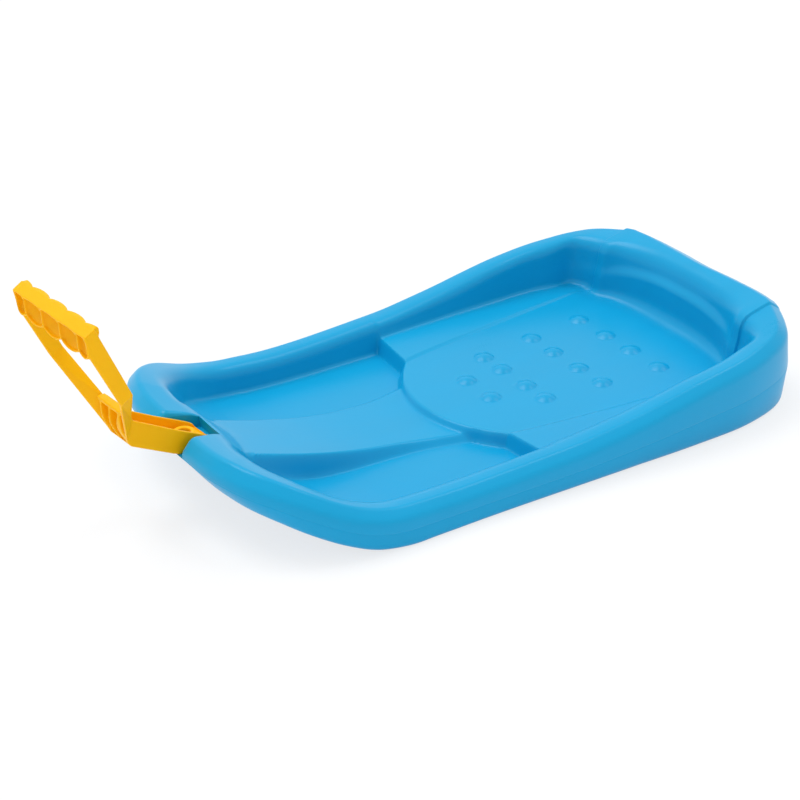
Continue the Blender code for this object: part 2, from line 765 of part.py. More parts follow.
def elbow_recess(side):
    """Cutter for the hollow in the elbow's front, on one side of its middle rib."""
    back = BRACKET_TOP[1][0] + ELBOW_WEB
    floor = SLOT_FLOOR + BRACKET_UNDERSIDE[-1][1] + ELBOW_WEB
    ceiling = SLOT_FLOOR + BRACKET_TOP[0][1] - ELBOW_WEB
    outline = [(back, floor), (TOOL_REACH, floor), (TOOL_REACH, ceiling), (back + ELBOW_LEAN, ceiling)]
    sides = sorted((side * ELBOW_RIB / 2, side * (BRACKET_HALF - BRACKET_WALL)))
    return prism("elbow_recess", outline, sides[0], sides[1], "Y")


def make_bracket(shader):
    body = prism("tow_handle", bracket_profile(), -BRACKET_HALF, BRACKET_HALF, "Y", shader)
    cut(body, prism("bracket_plan", bracket_plan(0.0), 0.0, TOOL_REACH), "INTERSECT")
    cut(body, bracket_pocket())
    cut(body, elbow_recess(1))
    cut(body, elbow_recess(-1))
    apply_cuts(body)
    return body


def arm_pairs():
    """Rear point, front point and outer side of the arm at each station, bottom to top."""
    strap_front = (GRIP_REAR_TOP[0] + STRAP_RUN, GRIP_REAR_TOP[1] - STRAP_FALL)
    pairs = [ARM_ROOT, ARM_START, ARM_BEND, ARM_HEAD, (GRIP_REAR_TOP, strap_front)]
    sides = [BRACKET_HALF, BRACKET_HALF, GRIP_HALF, GRIP_HALF, GRIP_HALF]
    return [(Vector(rear), Vector(front), side) for (rear, front), side in zip(pairs, sides)]


def make_arm(side):
    mesh = bmesh.new()
    rings = []
    for rear, front, outer in arm_pairs():
        ring = []
        for spot, y in ((rear, outer), (front, outer), (front, outer - ARM_THICK), (rear, outer - ARM_THICK)):
            ring.append(mesh.verts.new((spot.x, side * y, SLOT_FLOOR + spot.y)))
        rings.append(ring)
    for low, high in zip(rings, rings[1:]):
        for i in range(4):
            j = (i + 1) % 4
            mesh.faces.new((low[i], low[j], high[j], high[i]))
    mesh.faces.new(rings[0])
    mesh.faces.new(rings[-1])
    bmesh.ops.triangulate(mesh, faces=mesh.faces)
    bmesh.ops.recalc_face_normals(mesh, faces=mesh.faces)
    return to_object("arm", mesh)


def lobe(y):
    """Bulge of the finger lobes along the grip, from 0 between two of them to 1 in the middle."""
    pitch = 2 * (GRIP_HALF - ARM_THICK / 2) / LOBES
    share = ((y + pitch * LOBES / 2) / pitch) % 1.0
    return max(0.0, math.sin(math.pi * share)) ** 0.7


def lobe_bottom(y):
    """Depth of the grip's underside, which rounds up at both of its ends."""
    from_round = clamp((abs(y) - GRIP_HALF + GRIP_END_ROUND) / GRIP_END_ROUND)
    rounding = GRIP_END_ROUND * (1.0 - math.sqrt(1.0 - from_round * from_round))
    return rounding - GRIP_DEPTH - LOBE_DROP * lobe(y)


def grip_point(ahead, up, y):
    """World point from the grip's rear top edge."""
    return Vector((GRIP_REAR_TOP[0] + ahead, y, SLOT_FLOOR + GRIP_REAR_TOP[1] + up))


def grip_loft(name, outline_at, places):
    """Solid through side outlines at places along the grip."""
    mesh = bmesh.new()
    rings = [[mesh.verts.new(grip_point(ahead, up, y)) for ahead, up in outline_at(y)] for y in places]
    for one, two in zip(rings, rings[1:]):
        for i in range(len(one)):
            j = (i + 1) % len(one)
            mesh.faces.new((one[i], one[j], two[j], two[i]))
    mesh.faces.new(rings[0])
    mesh.faces.new(rings[-1])
    bmesh.ops.triangulate(mesh, faces=mesh.faces)
    bmesh.ops.recalc_face_normals(mesh, faces=mesh.faces)
    return to_object(name, mesh)


def grip_outline(y):
    bulge = LOBE_BULGE * lobe(y)
    low = lobe_bottom(y)
    strap_low = -STRAP_FALL - STRAP_THICK
    return [
        (STRAP_RUN, -STRAP_FALL), (-bulge, bulge * STRAP_FALL / STRAP_RUN),
        (-bulge * 0.9 - GRIP_BELLY, strap_low / 2),
        (-bulge * LOBE_WIDE_AT, low * LOBE_WIDE_AT), (STRAP_RUN * 0.1, low * 0.86),
        (STRAP_RUN * LOBE_FOOT_AT, low), (STRAP_RUN - 2 * STRAP_OVERHANG, low + STRAP_OVERHANG),
        (STRAP_RUN - STRAP_OVERHANG, strap_low), (STRAP_RUN, strap_low),
    ]


def pocket_outline(y):
    bulge = LOBE_BULGE * lobe(y)
    low = lobe_bottom(y)
    back = GRIP_BACK - bulge
    top = -STRAP_FALL - STRAP_THICK - POCKET_DROP
    front = STRAP_RUN + 0.01
    return [
        (front, top), (back, top + (STRAP_RUN - back) / 2), (back, low * LOBE_WIDE_AT),
        (STRAP_RUN * LOBE_FOOT_AT, low + GRIP_WALL), (front, low + GRIP_WALL),
    ]


def elbow_cap():
    """Plate across the elbow's top, between the arms."""
    back = BRACKET_TOP[0][0] + ELBOW_CAP_RISE
    front = ELBOW_FRONT[-1][0] - ELBOW_CAP_RISE / 2
    top = SLOT_FLOOR + BRACKET_TOP[0][1] + ELBOW_CAP_RISE
    bottom = SLOT_FLOOR + BRACKET_TOP[0][1] - ELBOW_WEB
    outline = [(back, bottom), (front, bottom), (front, top), (back, top)]
    half = BRACKET_HALF + ELBOW_CAP_OVERHANG
    return prism("elbow_cap", outline, -half, half, "Y")


def make_handle(shader):
    """Tow handle, one moulding, with its origin on the swivel's axis."""
    handle = make_bracket(shader)
    for side in (1, -1):
        cut(handle, make_arm(side), "UNION")
    cut(handle, elbow_cap(), "UNION")
    low = SLOT_FLOOR + RUN_GAP
    boss_foot = low + BRACKET_FLOOR / 2
    cut(handle, prism("boss", circle(BOSS_RADIUS, 32), boss_foot, SLOT_FLOOR + BOSS_TOP), "UNION")
    width = GRIP_HALF - ARM_THICK / 2
    count = LOBES * LOBE_STEPS
    places = [mix(-width, width, i / count) for i in range(count + 1)]
    cut(handle, grip_loft("grip", grip_outline, places), "UNION")
    pitch = 2 * width / LOBES
    for i in range(LOBES):
        middle = (i - (LOBES - 1) / 2) * pitch
        half = pitch / 2 - GRIP_WALL / 2
        spots = [middle + half * mix(-1.0, 1.0, k / 4) for k in range(5)]
        cut(handle, grip_loft("grip_pocket", pocket_outline, spots))
    cut(handle, prism("pivot_bore", circle(BORE_RADIUS, 24), 0.0, TOOL_REACH))
    seat = low + BOSS_SEAT
    cut(handle, prism("counterbore", circle(COUNTERBORE_RADIUS, 24), seat, TOOL_REACH))
    apply_cuts(handle)
    handle.location = (PIVOT_X, 0.0, 0.0)
    handle.rotation_euler = (0.0, 0.0, math.radians(HANDLE_TURN_DEG))
    return handle


def hex_outline(flats, x):
    return circle(flats / math.sqrt(3), 6, x, 0.0, math.pi / 6)


def make_bolt(shader):
    seat = SLOT_FLOOR + RUN_GAP + BOSS_SEAT + 2 * RUN_GAP + WASHER_THICK
    tail = SWIVEL_CEILING - 2 * RUN_GAP - WASHER_THICK - NUT_HEIGHT - BOLT_TAIL
    profile = [
        (0.0, tail), (SHANK_RADIUS - BOLT_POINT, tail), (SHANK_RADIUS, tail + BOLT_POINT),
        (SHANK_RADIUS, seat), (BOLT_HEAD_RADIUS, seat), (BOLT_HEAD_RADIUS, seat + BOLT_HEAD_HEIGHT * 0.3),
        (BOLT_HEAD_RADIUS * 0.86, seat + BOLT_HEAD_HEIGHT * 0.75),
        (BOLT_HEAD_RADIUS * 0.6, seat + BOLT_HEAD_HEIGHT), (0.0, seat + BOLT_HEAD_HEIGHT),
    ]
    bolt = turned("pivot_bolt", profile, 24, PIVOT_X, shader)
    socket = hex_outline(SOCKET_FLATS, PIVOT_X)
    top = seat + BOLT_HEAD_HEIGHT
    cut(bolt, prism("bolt_socket", socket, top - SOCKET_DEPTH, TOOL_REACH))
    return bolt


def washer(name, radius, low, shader):
    high = low + WASHER_THICK
    profile = [(radius, low), (radius, high), (BORE_RADIUS, high), (BORE_RADIUS, low)]
    return turned(name, profile, 28, PIVOT_X, shader)


def make_nut(shader):
    high = SWIVEL_CEILING - 2 * RUN_GAP - WASHER_THICK
    nut = prism("lock_nut", hex_outline(NUT_FLATS, PIVOT_X), high - NUT_HEIGHT, high, "Z", shader)
    cut(nut, prism("nut_bore", circle(BORE_RADIUS, 24, PIVOT_X), -TOOL_REACH, TOOL_REACH))
    return nut


def build():
    clear_scene()
    blue = material("blue_polyethylene", BLUE, 0.38, 0.0)
    yellow = material("yellow_polypropylene", YELLOW, 0.34, 0.0)
    steel = material("zinc_plated_steel", STEEL, 0.32, 1.0)
    make_hull(blue)
    make_handle(yellow)
    make_bolt(steel)
    head_low = SLOT_FLOOR + RUN_GAP + BOSS_SEAT + RUN_GAP
    washer("head_washer", HEAD_WASHER_RADIUS, head_low, steel)
    floor_low = SWIVEL_CEILING - RUN_GAP - WASHER_THICK
    washer("floor_washer", FLOOR_WASHER_RADIUS, floor_low, steel)
    make_nut(steel)


build()
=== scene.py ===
"""Child's plastic sled with a swivelling tow handle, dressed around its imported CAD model."""
import math

import bmesh
import bpy
import numpy as np
from mathutils import Matrix, Vector


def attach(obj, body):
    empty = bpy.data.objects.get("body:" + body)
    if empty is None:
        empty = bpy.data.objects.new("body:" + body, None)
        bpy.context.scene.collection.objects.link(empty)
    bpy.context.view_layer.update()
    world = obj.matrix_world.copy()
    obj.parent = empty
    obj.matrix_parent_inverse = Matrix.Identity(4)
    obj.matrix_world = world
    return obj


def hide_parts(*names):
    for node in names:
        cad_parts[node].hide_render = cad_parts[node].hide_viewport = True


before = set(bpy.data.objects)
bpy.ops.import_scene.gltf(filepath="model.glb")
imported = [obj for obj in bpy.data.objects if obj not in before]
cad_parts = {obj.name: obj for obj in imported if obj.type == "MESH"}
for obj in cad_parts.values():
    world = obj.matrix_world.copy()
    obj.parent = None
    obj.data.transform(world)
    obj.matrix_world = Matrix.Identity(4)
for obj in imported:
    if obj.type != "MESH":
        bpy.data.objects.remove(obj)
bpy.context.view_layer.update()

bl_info = {
    "name": "Plastic sled",
    "version": (1, 0, 0),
    "blender": (4, 5, 0),
    "location": "View3D > Sidebar > Sled",
    "description": "Makes the visible pieces of a child's sled around its CAD model",
    "category": "Object",
}

HULL_LENGTH = 0.7605
REAR_X = -HULL_LENGTH / 2
NOSE_X = HULL_LENGTH / 2
HALF_WIDTH = 0.2134

# Outermost line of the hull in plan: distance from that end, distance drawn in from the widest
REAR_OUTLINE = ((0.007, 0.1055), (0.032, 0.0575), (0.0655, 0.0245), (0.127, 0.005), (0.202, 0.0))
NOSE_OUTLINE = (
    (0.2985, 0.005), (0.2235, 0.006), (0.1585, 0.005), (0.1185, 0.0095),
    (0.0785, 0.0230), (0.0435, 0.0460), (0.0165, 0.0790), (0.0025, 0.1270),
)
REAR_FLAT_HALF = 0.055
NOSE_FLAT_HALF = 0.030
MID_AHEAD = 0.292
WAIST_BACK = 0.2235
SPINE_FROM_REAR = 0.257
SPINE_FROM_NOSE = 0.1845

# Crest of the rim and the keel, by distance from that end of the hull
REAR_CREST = (
    (-0.003, 0.1075), (0.036, 0.1065), (0.052, 0.1020), (0.077, 0.0960), (0.102, 0.0925),
    (0.129, 0.0885), (0.167, 0.0837), (0.209, 0.0778), (0.251, 0.0698), (0.292, 0.0618),
    (0.332, 0.0555), (0.372, 0.0501),
)
NOSE_CREST = (
    (0.3455, 0.0471), (0.3045, 0.0446), (0.2645, 0.0426), (0.2245, 0.0417), (0.1875, 0.0429),
    (0.1505, 0.0460), (0.1085, 0.0580), (0.062, 0.0810), (0.0285, 0.0945), (0.0, 0.0990),
)
NOSE_KEEL = (
    (0.1945, 0.0), (0.1685, 0.0), (0.1335, 0.004), (0.1035, 0.014), (0.0735, 0.028), (0.0435, 0.0435),
    (-0.0055, 0.0640),
)

# Rim and walls. Four values go with the side, the rear, the nose and the rear corners
RIM = (0.036, 0.0625, 0.0488, 0.072)
DRAFT = (0.0065, 0.0085, 0.027, 0.008)
FOOT_FILLET = (0.006, 0.020, 0.014, 0.010)
CORNER_FACING = 0.90
NOSE_BLEND = 2.5
CORNER_BLEND = 5.0
REAR_BLEND = 0.7
PARTING_SHARE = 0.45
PARTING_SHARE_NOSE = 0.48
PARTING_GROOVE = 0.0004
OUTER_ROUNDING = 0.012
SHOULDER_FALL = (0.0100, 0.0115, 0.019, 0.0110)
SHOULDER_FALL_LIMIT = 0.6
SHOULDER_ROUNDING = 0.006
EDGE_ROUNDING = (0.0032, 0.0034, 0.0060, 0.0032)
BROW_ROUNDING = (0.0150, 0.0190, 0.0120, 0.0150)
BOTTOM_ROUNDING = 0.0095
GROOVE_ROUNDING = (0.0005, 0.0002, 0.0005)
CHAMFER_ROUNDING = (0.004, 0.005)
# Between two corners of the wall, the share of the way that the first one's rounding may take
ROUNDING_SHARES = (0.05, 0.5, 0.6, 0.15, 0.7, 0.4, 0.8, 0.5, 0.5, 0.2, 0.95)
ROUNDING_STEPS = (6, 2, 3, 8, 5, 5, 1, 1, 1, 6)
BOTTOM_TUCK = 0.0045
BOTTOM_TUCK_WAIST = -0.003
REAR_LEAN = 0.0295
REAR_LEAN_CORNER = 0.0165
REAR_LEAN_SHARE = 0.6
NOSE_TUCK = 0.024
NOSE_TUCK_BLEND = 1.3
NOSE_TUCK_SHARE = 0.85
NOSE_SAG = 0.0035
NOSE_SAG_FACING = 0.85
# Bends of the rear wall: share of the way down the plain wall, place ahead of the rim and fall from its crest
BACK_CHAMFER = ((0.5, 0.0, 0.0195), (0.72, 0.007, 0.0265))
BACK_CHAMFER_RUN = 0.004
BACK_CHAMFER_SHARE = (0.0, 1.0, 0.0, 0.3)
PLATFORM_HALF = 0.131
REAR_FAN = math.radians(58)
PLATFORM_RISE = 0.0028
PLATFORM_STEP = 0.0028
SEAM_WIDTH = 0.003

# Seat, tongue and footwells
SEAT_X = -0.0883
SEAT_HEIGHT = 0.0271
SEAT_SLOPE = 0.0216
SEAT_RADIUS = 0.147
SEAT_CORNER_Y = 0.104
WING_SWEEP = 0.006
SHELF_RISE = 0.004
SHELF_NARROW_BACK = 0.285
SHELF_NARROW_BLEND = 0.8
SHELF_REAR_Y = 0.140
CREASE_WIDTH = 0.003
CREASE_STEP = 0.0017
DOME_RADIUS = 0.0125
DOME_HEIGHT = 0.0042
DOME_ROOT = 0.0012
DOME_SINK = 0.00006
DOME_ROUNDNESS = 2.2
DOME_SEGMENTS = 28
DOME_RINGS = 24
DOME_ROWS = (
    (-0.1336, (0.0240, 0.0766)), (-0.0549, (0.0249, 0.0691)), (0.0214, (0.0242, 0.0612)), (0.0716, (0.0245,)),
)
TONGUE = (
    (0.3465, 0.067, 0.0167), (0.2945, 0.0543, 0.0173), (0.2555, 0.0485, 0.0202), (0.2185, 0.0464, 0.0241),
    (0.1815, 0.0450, 0.0304), (0.1455, 0.0448, 0.0390), (0.1105, 0.0440, 0.0486), (0.0545, 0.0430, 0.0660),
)
FOOTWELL = (
    (0.3945, 0.0090), (0.2185, 0.0092), (0.1685, 0.0110), (0.1335, 0.0160), (0.1085, 0.0240),
    (0.0835, 0.0350), (0.0445, 0.0500),
)

# Slot in the nose, swivel and drain hole
PIVOT_BACK = 0.0185
PIVOT_X = NOSE_X - PIVOT_BACK
SLOT_REAR_BACK = 0.0488
SLOT_REAR_HALF = 0.0238
SLOT_OVERRUN = 0.03
SLOT_FLARE = math.tan(math.radians(8.6))
SLOT_FLOOR = 0.0700
SLOT_LIP = (0.002, 0.009)
SWIVEL_CEILING = 0.0645
BORE_RADIUS = 0.0033
RECESS_RADIUS = 0.011
DRAIN_RADIUS = 0.005
DRAIN_DEPTH = 0.0055
DRAIN_FROM_REAR = 0.110
RUN_GAP = 0.0003
HANDLE_TURN = math.radians(5.5)

# Spacing of the hull's sections: usual, round the ends, beside the seat's front, at its wings, seams and slot
SPACING = 0.0055
SPACING_CORNER = 0.0036
SPACING_STEP = 0.0018
SPACING_WING = 0.0008
SPACING_SEAM = 0.0006
SPACING_LIP = 0.0008

# Where those spacings apply, along the hull or from its ends
REAR_CORNER_REACH = 0.14
NOSE_CORNER_REACH = 0.15
STEP_STRETCH = (-0.002, 0.074)
WING_STRETCH = (0.010, 0.028)
SEAM_REACH = 0.1
SEAM_MARGIN = 0.005
LIP_REACH = 0.02
LIP_MARGIN = 0.002

# Fineness of the meshes. A stretch of the pan has its first and last share of the way out and its step
LINE_STEPS = 8
OUTLINE_SAMPLES = 9001
PAN_STRETCHES = ((0, 0.2, 0.025), (0.2, 0.5, 0.0075), (0.5, 1.0, 0.0125))
UNDERSIDE_LINES = 12
BORE_SIDES = 48
BOSS_SIDES = 64
DRAIN_SIDES = 40
PLAN_CORNER_STEPS = 12
MERGE_DISTANCE = 2e-6
FLAT_DISTANCE = 1e-6
LEAST_LENGTH = 1e-9
HULL_SHARP_ANGLE = 38

# Bracket of the tow handle, from the pivot and above the slot's floor
BRACKET_HALF = 0.0195
BRACKET_WALL = 0.003
BRACKET_FLOOR = 0.0035
BRACKET_REAR = 0.0245
BRACKET_CORNER = 0.010
BOSS_RADIUS = 0.012
BOSS_TOP = 0.0138
BOSS_SEAT = 0.0062
COUNTERBORE_RADIUS = 0.0072
BRACKET_UNDERSIDE = ((0.018, 0.0), (0.026, 0.0036), (0.0737, 0.0286))
ELBOW_FRONT = (
    (0.0784, 0.0368), (0.0816, 0.0443), (0.0840, 0.0512), (0.0851, 0.0583), (0.0854, 0.0652),
    (0.0856, 0.0730),
)
BRACKET_TOP = ((0.0752, 0.0730), (0.0694, 0.0572), (0.0242, 0.0321), (0.0, 0.0197), (-0.0130, 0.0130))
BRACKET_TAIL = (-0.0203, 0.0088)
ELBOW_WEB = 0.0035
ELBOW_RIB = 0.003
ELBOW_LEAN = 0.004
ELBOW_BOW = 0.003
ELBOW_STEPS = 10
ELBOW_CAP_OVERHANG = 0.004
ELBOW_CAP_RISE = 0.001

# Arms and grip. A pair is an arm's rear and front point
ARM_THICK = 0.004
GRIP_HALF = 0.0708
GRIP_REAR_TOP = (0.1320, 0.1985)
STRAP_RUN = 0.0112
STRAP_FALL = 0.0067
STRAP_THICK = 0.0035
STRAP_OVERHANG = 0.0012
ARM_STATIONS = (
    ((0.0660, 0.0480), (0.0750, 0.0300), BRACKET_HALF), ((0.0715, 0.0600), (0.0775, 0.0350), BRACKET_HALF),
    ((0.0962, 0.1170), (0.1103, 0.1095), GRIP_HALF), ((0.1208, 0.1730), (0.1388, 0.1690), GRIP_HALF),
    (GRIP_REAR_TOP, (GRIP_REAR_TOP[0] + STRAP_RUN, GRIP_REAR_TOP[1] - STRAP_FALL), GRIP_HALF),
)
GRIP_DEPTH = 0.0285
GRIP_END_ROUND = 0.012
FULL_LOBES = 3
LOBE_PITCH = 0.0345
LOBE_DROP = 0.0060
LOBE_STEPS = 16
LOBE_FULLNESS = 0.6
GRIP_BELLY = 0.001
# Round top of a lobe: shares of its bulge and of the belly to the rear, and the same downwards
LOBE_TOP = ((0.75, 0.4, -0.1, 0.1), (0.95, 0.8, 0.2, 0.5), (1.0, 1.0, 1.0, 1.0))
LOBE_WIDE_AT = 0.55
LOBE_UNDER_AT = (0.1, 0.86)
LOBE_FOOT_AT = 0.4
GRIP_WALL = 0.0026
LOBE_RIB = 0.0020
GRIP_BACK = 0.0035
POCKET_DROP = 0.0006
POCKET_OVERRUN = 0.01
POCKET_END_AT = 0.85
POCKET_SQUARENESS = 4.0
POCKET_RINGS = 17
RELAX_FACTOR = 0.5
RELAX_ROUNDS = 3

# How far a cutter reaches past what it cuts
TOOL_REACH = 0.3

# Camera, matched to the photograph
CAMERA_SPOT = (1.1023, 1.5623, 1.0332)
CAMERA_TARGET = (-0.08825, -0.27879, -0.13458)
CAMERA_LENS = 84.2
CAMERA_SENSOR = 36.0

# Lamps: name, strength, angular width and the direction that the light comes from
STUDIO_LAMPS = (
    ("broad_lamp", 1.3, 0.6, (0.20, -0.34, 0.92)), ("edge_lamp", 0.32, 0.3, (-0.48, 0.04, 0.88)),
)

# Light of the sky, from the horizon to halfway up and overhead
SKY_LOW = (0.70, 0.72, 0.73)
SKY_HIGH = (0.78, 0.78, 0.79)
WHITE = (1.0, 1.0, 1.0)

# Share of plain white in the floor as the camera sees it, so that its shadows stay light
FLOOR_GLOW = 0.74
FLOOR_REACH = 20


class SledSizes(bpy.types.PropertyGroup):
    """Sizes that change how the sled's mouldings look, within their CAD shapes."""

    dome_radius: bpy.props.FloatProperty(
        name="Dome radius", description="Radius of each raised dome on the seat",
        default=DOME_RADIUS, min=0.004, max=0.020, unit="LENGTH")
    dome_height: bpy.props.FloatProperty(
        name="Dome height", description="How far each dome stands above the seat",
        default=DOME_HEIGHT, min=0.0005, max=0.008, unit="LENGTH")
    seat_step: bpy.props.FloatProperty(
        name="Seat step", description="Length over which the seat's front falls to the footwells",
        default=0.007, min=0.003, max=0.02, unit="LENGTH")
    tongue_slope: bpy.props.FloatProperty(
        name="Tongue slope", description="Width of the slopes beside the tongue",
        default=0.013, min=0.003, max=0.02, unit="LENGTH")
    lobe_bulge: bpy.props.FloatProperty(
        name="Lobe bulge", description="How far each finger lobe bulges from the grip's back",
        default=0.0056, min=0.0, max=0.008, unit="LENGTH")
    edge_softness: bpy.props.FloatProperty(
        name="Edge softness", description="Grid size from which the handle's soft edges come",
        default=0.00083, min=0.0006, max=0.003, unit="LENGTH")


class SledColours(bpy.types.PropertyGroup):
    """Colours of the sled's materials."""

    hull: bpy.props.FloatVectorProperty(
        name="Hull", description="Blue of the blow-moulded polyethylene",
        subtype="COLOR", size=3, default=(0.003, 0.352, 0.648), min=0.0, max=1.0)
    handle: bpy.props.FloatVectorProperty(
        name="Handle", description="Yellow of the injection-moulded polypropylene",
        subtype="COLOR", size=3, default=(1.0, 0.50, 0.002), min=0.0, max=1.0)
    steel: bpy.props.FloatVectorProperty(
        name="Fasteners", description="Zinc plating on the bolt, washers and nut",
        subtype="COLOR", size=3, default=(0.66, 0.67, 0.69), min=0.0, max=1.0)
    floor: bpy.props.FloatVectorProperty(
        name="Floor", description="Pale studio floor",
        subtype="COLOR", size=3, default=(0.955, 0.96, 0.975), min=0.0, max=1.0)


def smooth_line(points):
    """Evenly many points to each span of the smooth curve through a table."""
    count = (len(points) - 1) * LINE_STEPS
    return smooth_at(points, np.arange(count + 1) / LINE_STEPS)


def smooth_at(points, t):
    """The smooth curve through a table's rows at parameters t, one unit of t to each span."""
    spots = np.array(points, float)
    padded = np.vstack([2 * spots[0] - spots[1], spots, 2 * spots[-1] - spots[-2]])
    i = np.minimum(np.asarray(t).astype(int), len(spots) - 2)
    s = (t - i)[:, None]
    a, b, c, d = (padded[i + k] for k in range(4))
    bend = (2 * a - 5 * b + 4 * c - d) * s * s
    return 0.5 * (2 * b + (c - a) * s + bend + (3 * b - a - 3 * c + d) * s ** 3)


def from_ends(rear, nose):
    """Smooth line along the hull from tables that count their places from its rear and its nose."""
    rows = [(REAR_X + row[0], *row[1:]) for row in rear]
    return smooth_line(rows + [(NOSE_X - row[0], *row[1:]) for row in nose])


def look_up(table, x, column=1):
    """A column of a table at place x along the hull."""
    return np.interp(x, table[:, 0], table[:, column])


def clamp(value, low=0.0, high=1.0):
    return np.clip(value, low, high)


def mix(a, b, share):
    return a + (b - a) * share


def smooth(share):
    """Soft step from 0 to 1."""
    share = clamp(share)
    return share * share * (3 - 2 * share)


CREST = from_ends(REAR_CREST, NOSE_CREST)
KEEL = from_ends((), NOSE_KEEL)
TONGUE_LINE = from_ends((), TONGUE)
FOOTWELL_LINE = from_ends((), FOOTWELL)
OUTLINE = (
    [(REAR_X, 0.0), (REAR_X, REAR_FLAT_HALF)]
    + [(REAR_X + d, HALF_WIDTH - drawn) for d, drawn in REAR_OUTLINE]
    + [(REAR_X + MID_AHEAD, HALF_WIDTH)]
    + [(NOSE_X - d, HALF_WIDTH - drawn) for d, drawn in NOSE_OUTLINE]
    + [(NOSE_X, NOSE_FLAT_HALF), (NOSE_X, 0.0)]
)


def slot_half(x):
    """Half the nose slot's width at place x along the hull."""
    return SLOT_REAR_HALF + (x - NOSE_X + SLOT_REAR_BACK) * SLOT_FLARE


def seat_edge(x, y):
    """Distance ahead of the seat's front edge, negative on the seat."""
    dx = x - SEAT_X
    corner_x = math.sqrt(SEAT_RADIUS ** 2 - SEAT_CORNER_Y ** 2)
    lean = math.atan2(WING_SWEEP, HALF_WIDTH - RIM[0] - SEAT_CORNER_Y)
    ahead = (dx - corner_x) * math.cos(lean) + (np.abs(y) - SEAT_CORNER_Y) * math.sin(lean)
    return np.minimum(np.hypot(dx, y) - SEAT_RADIUS, ahead)


def floor_height(x, y, sizes):
    """Height of the pan's inner floor: seat with side shelves, tongue and footwells."""
    corner_x = math.sqrt(SEAT_RADIUS ** 2 - SEAT_CORNER_Y ** 2)
    back = clamp((SEAT_X + corner_x - x) / SHELF_NARROW_BACK)
    crease = mix(SEAT_CORNER_Y, SHELF_REAR_Y, back ** SHELF_NARROW_BLEND)
    beyond = np.abs(y) - crease
    seat = SEAT_HEIGHT - SEAT_SLOPE * (x - SEAT_X)
    seat = seat + (SHELF_RISE - CREASE_STEP) * clamp(beyond / (HALF_WIDTH - RIM[0] - crease))
    seat = seat + CREASE_STEP * smooth(beyond / CREASE_WIDTH)
    beside = (np.abs(y) - look_up(TONGUE_LINE, x)) / sizes.tongue_slope
    front = mix(look_up(TONGUE_LINE, x, 2), look_up(FOOTWELL_LINE, x), smooth(beside))
    return mix(seat, front, smooth(seat_edge(x, y) / sizes.seat_step))


def by_facing(nx, values):
    """Size for walls that face nx along the hull, blended between the side, rear, nose and rear corner."""
    side, rear, nose, corner = values
    ahead = clamp(nx)
    behind = clamp(-nx)
    toward_corner = mix(side, corner, clamp(behind / CORNER_FACING) ** CORNER_BLEND)
    toward_rear = mix(corner, rear, clamp((behind - CORNER_FACING) / (1 - CORNER_FACING)) ** REAR_BLEND)
    return np.where(nx >= 0, mix(side, nose, ahead ** NOSE_BLEND),
                    np.where(behind > CORNER_FACING, toward_rear, toward_corner))


def sections():
    """Outline points and outward directions of half the hull, closer where the shape turns faster."""
    t = np.linspace(0, len(OUTLINE) - 1, OUTLINE_SAMPLES)
    spots = smooth_at(OUTLINE, t)
    x, y = spots.T
    gap = np.full(len(t), SPACING)
    gap[(x < REAR_X + REAR_CORNER_REACH) | (x > NOSE_X - NOSE_CORNER_REACH)] = SPACING_CORNER
    gap[(x > STEP_STRETCH[0]) & (x < STEP_STRETCH[1])] = SPACING_STEP
    gap[(x > WING_STRETCH[0]) & (x < WING_STRETCH[1])] = SPACING_WING
    off_seam = np.abs(y - PLATFORM_HALF - SEAM_WIDTH / 2)
    gap[(x < REAR_X + SEAM_REACH) & (off_seam < SEAM_MARGIN)] = SPACING_SEAM
    lip = y - slot_half(x)
    gap[(x > NOSE_X - LIP_REACH) & (lip > -LIP_MARGIN) & (lip < SLOT_LIP[1] + LIP_MARGIN)] = SPACING_LIP
    run = np.hypot(*np.diff(spots, axis=0).T)
    travelled = np.r_[0, np.cumsum(run / (gap[1:] + gap[:-1]) * 2)]
    count = int(math.ceil(travelled[-1]))
    t = np.interp(np.linspace(0, travelled[-1], count + 1), travelled, t)
    spots = smooth_at(OUTLINE, t)
    spine = np.stack([clamp(spots[:, 0], REAR_X + SPINE_FROM_REAR, NOSE_X - SPINE_FROM_NOSE), 0 * t], 1)
    outward = spots - spine
    outward /= np.linalg.norm(outward, axis=1)[:, None]
    spots[0, 1] = spots[-1, 1] = 0.0
    return spots, outward, spine


def straight_back(spots, outward):
    """Directions across the wall: along the hull behind the platform, fanning out round its corners."""
    turn = np.arctan2(outward[:, 1], -outward[:, 0])
    start = np.interp(PLATFORM_HALF + SEAM_WIDTH, spots[:len(spots) // 2, 1], turn[:len(spots) // 2])
    turn = np.where(turn < REAR_FAN, turn * smooth((turn - start) / (REAR_FAN - start)), turn)
    return np.stack([-np.cos(turn), np.sin(turn)], 1)


def rounded(corners, setbacks, shares, steps):
    """Lines through corners (section, corner, xyz), each inner corner turned into a soft curve."""
    columns = [corners[:, :1]]
    for i in range(1, corners.shape[1] - 1):
        here = corners[:, i]
        sides = []
        for other, share in ((corners[:, i - 1], 1 - shares[i - 1]), (corners[:, i + 1], shares[i])):
            run = other - here
            length = np.maximum(np.linalg.norm(run, axis=1), LEAST_LENGTH)
            reach = np.minimum(setbacks[i - 1], share * length)
            sides.append(here + run * (reach / length)[:, None])
        t = np.linspace(0, 1, steps[i - 1] + 1)[None, :, None]
        before, after = (spot[:, None] for spot in sides)
        columns.append((1 - t) ** 2 * before + 2 * t * (1 - t) * here[:, None] + t * t * after)
    columns.append(corners[:, -1:])
    return np.concatenate(columns, axis=1)


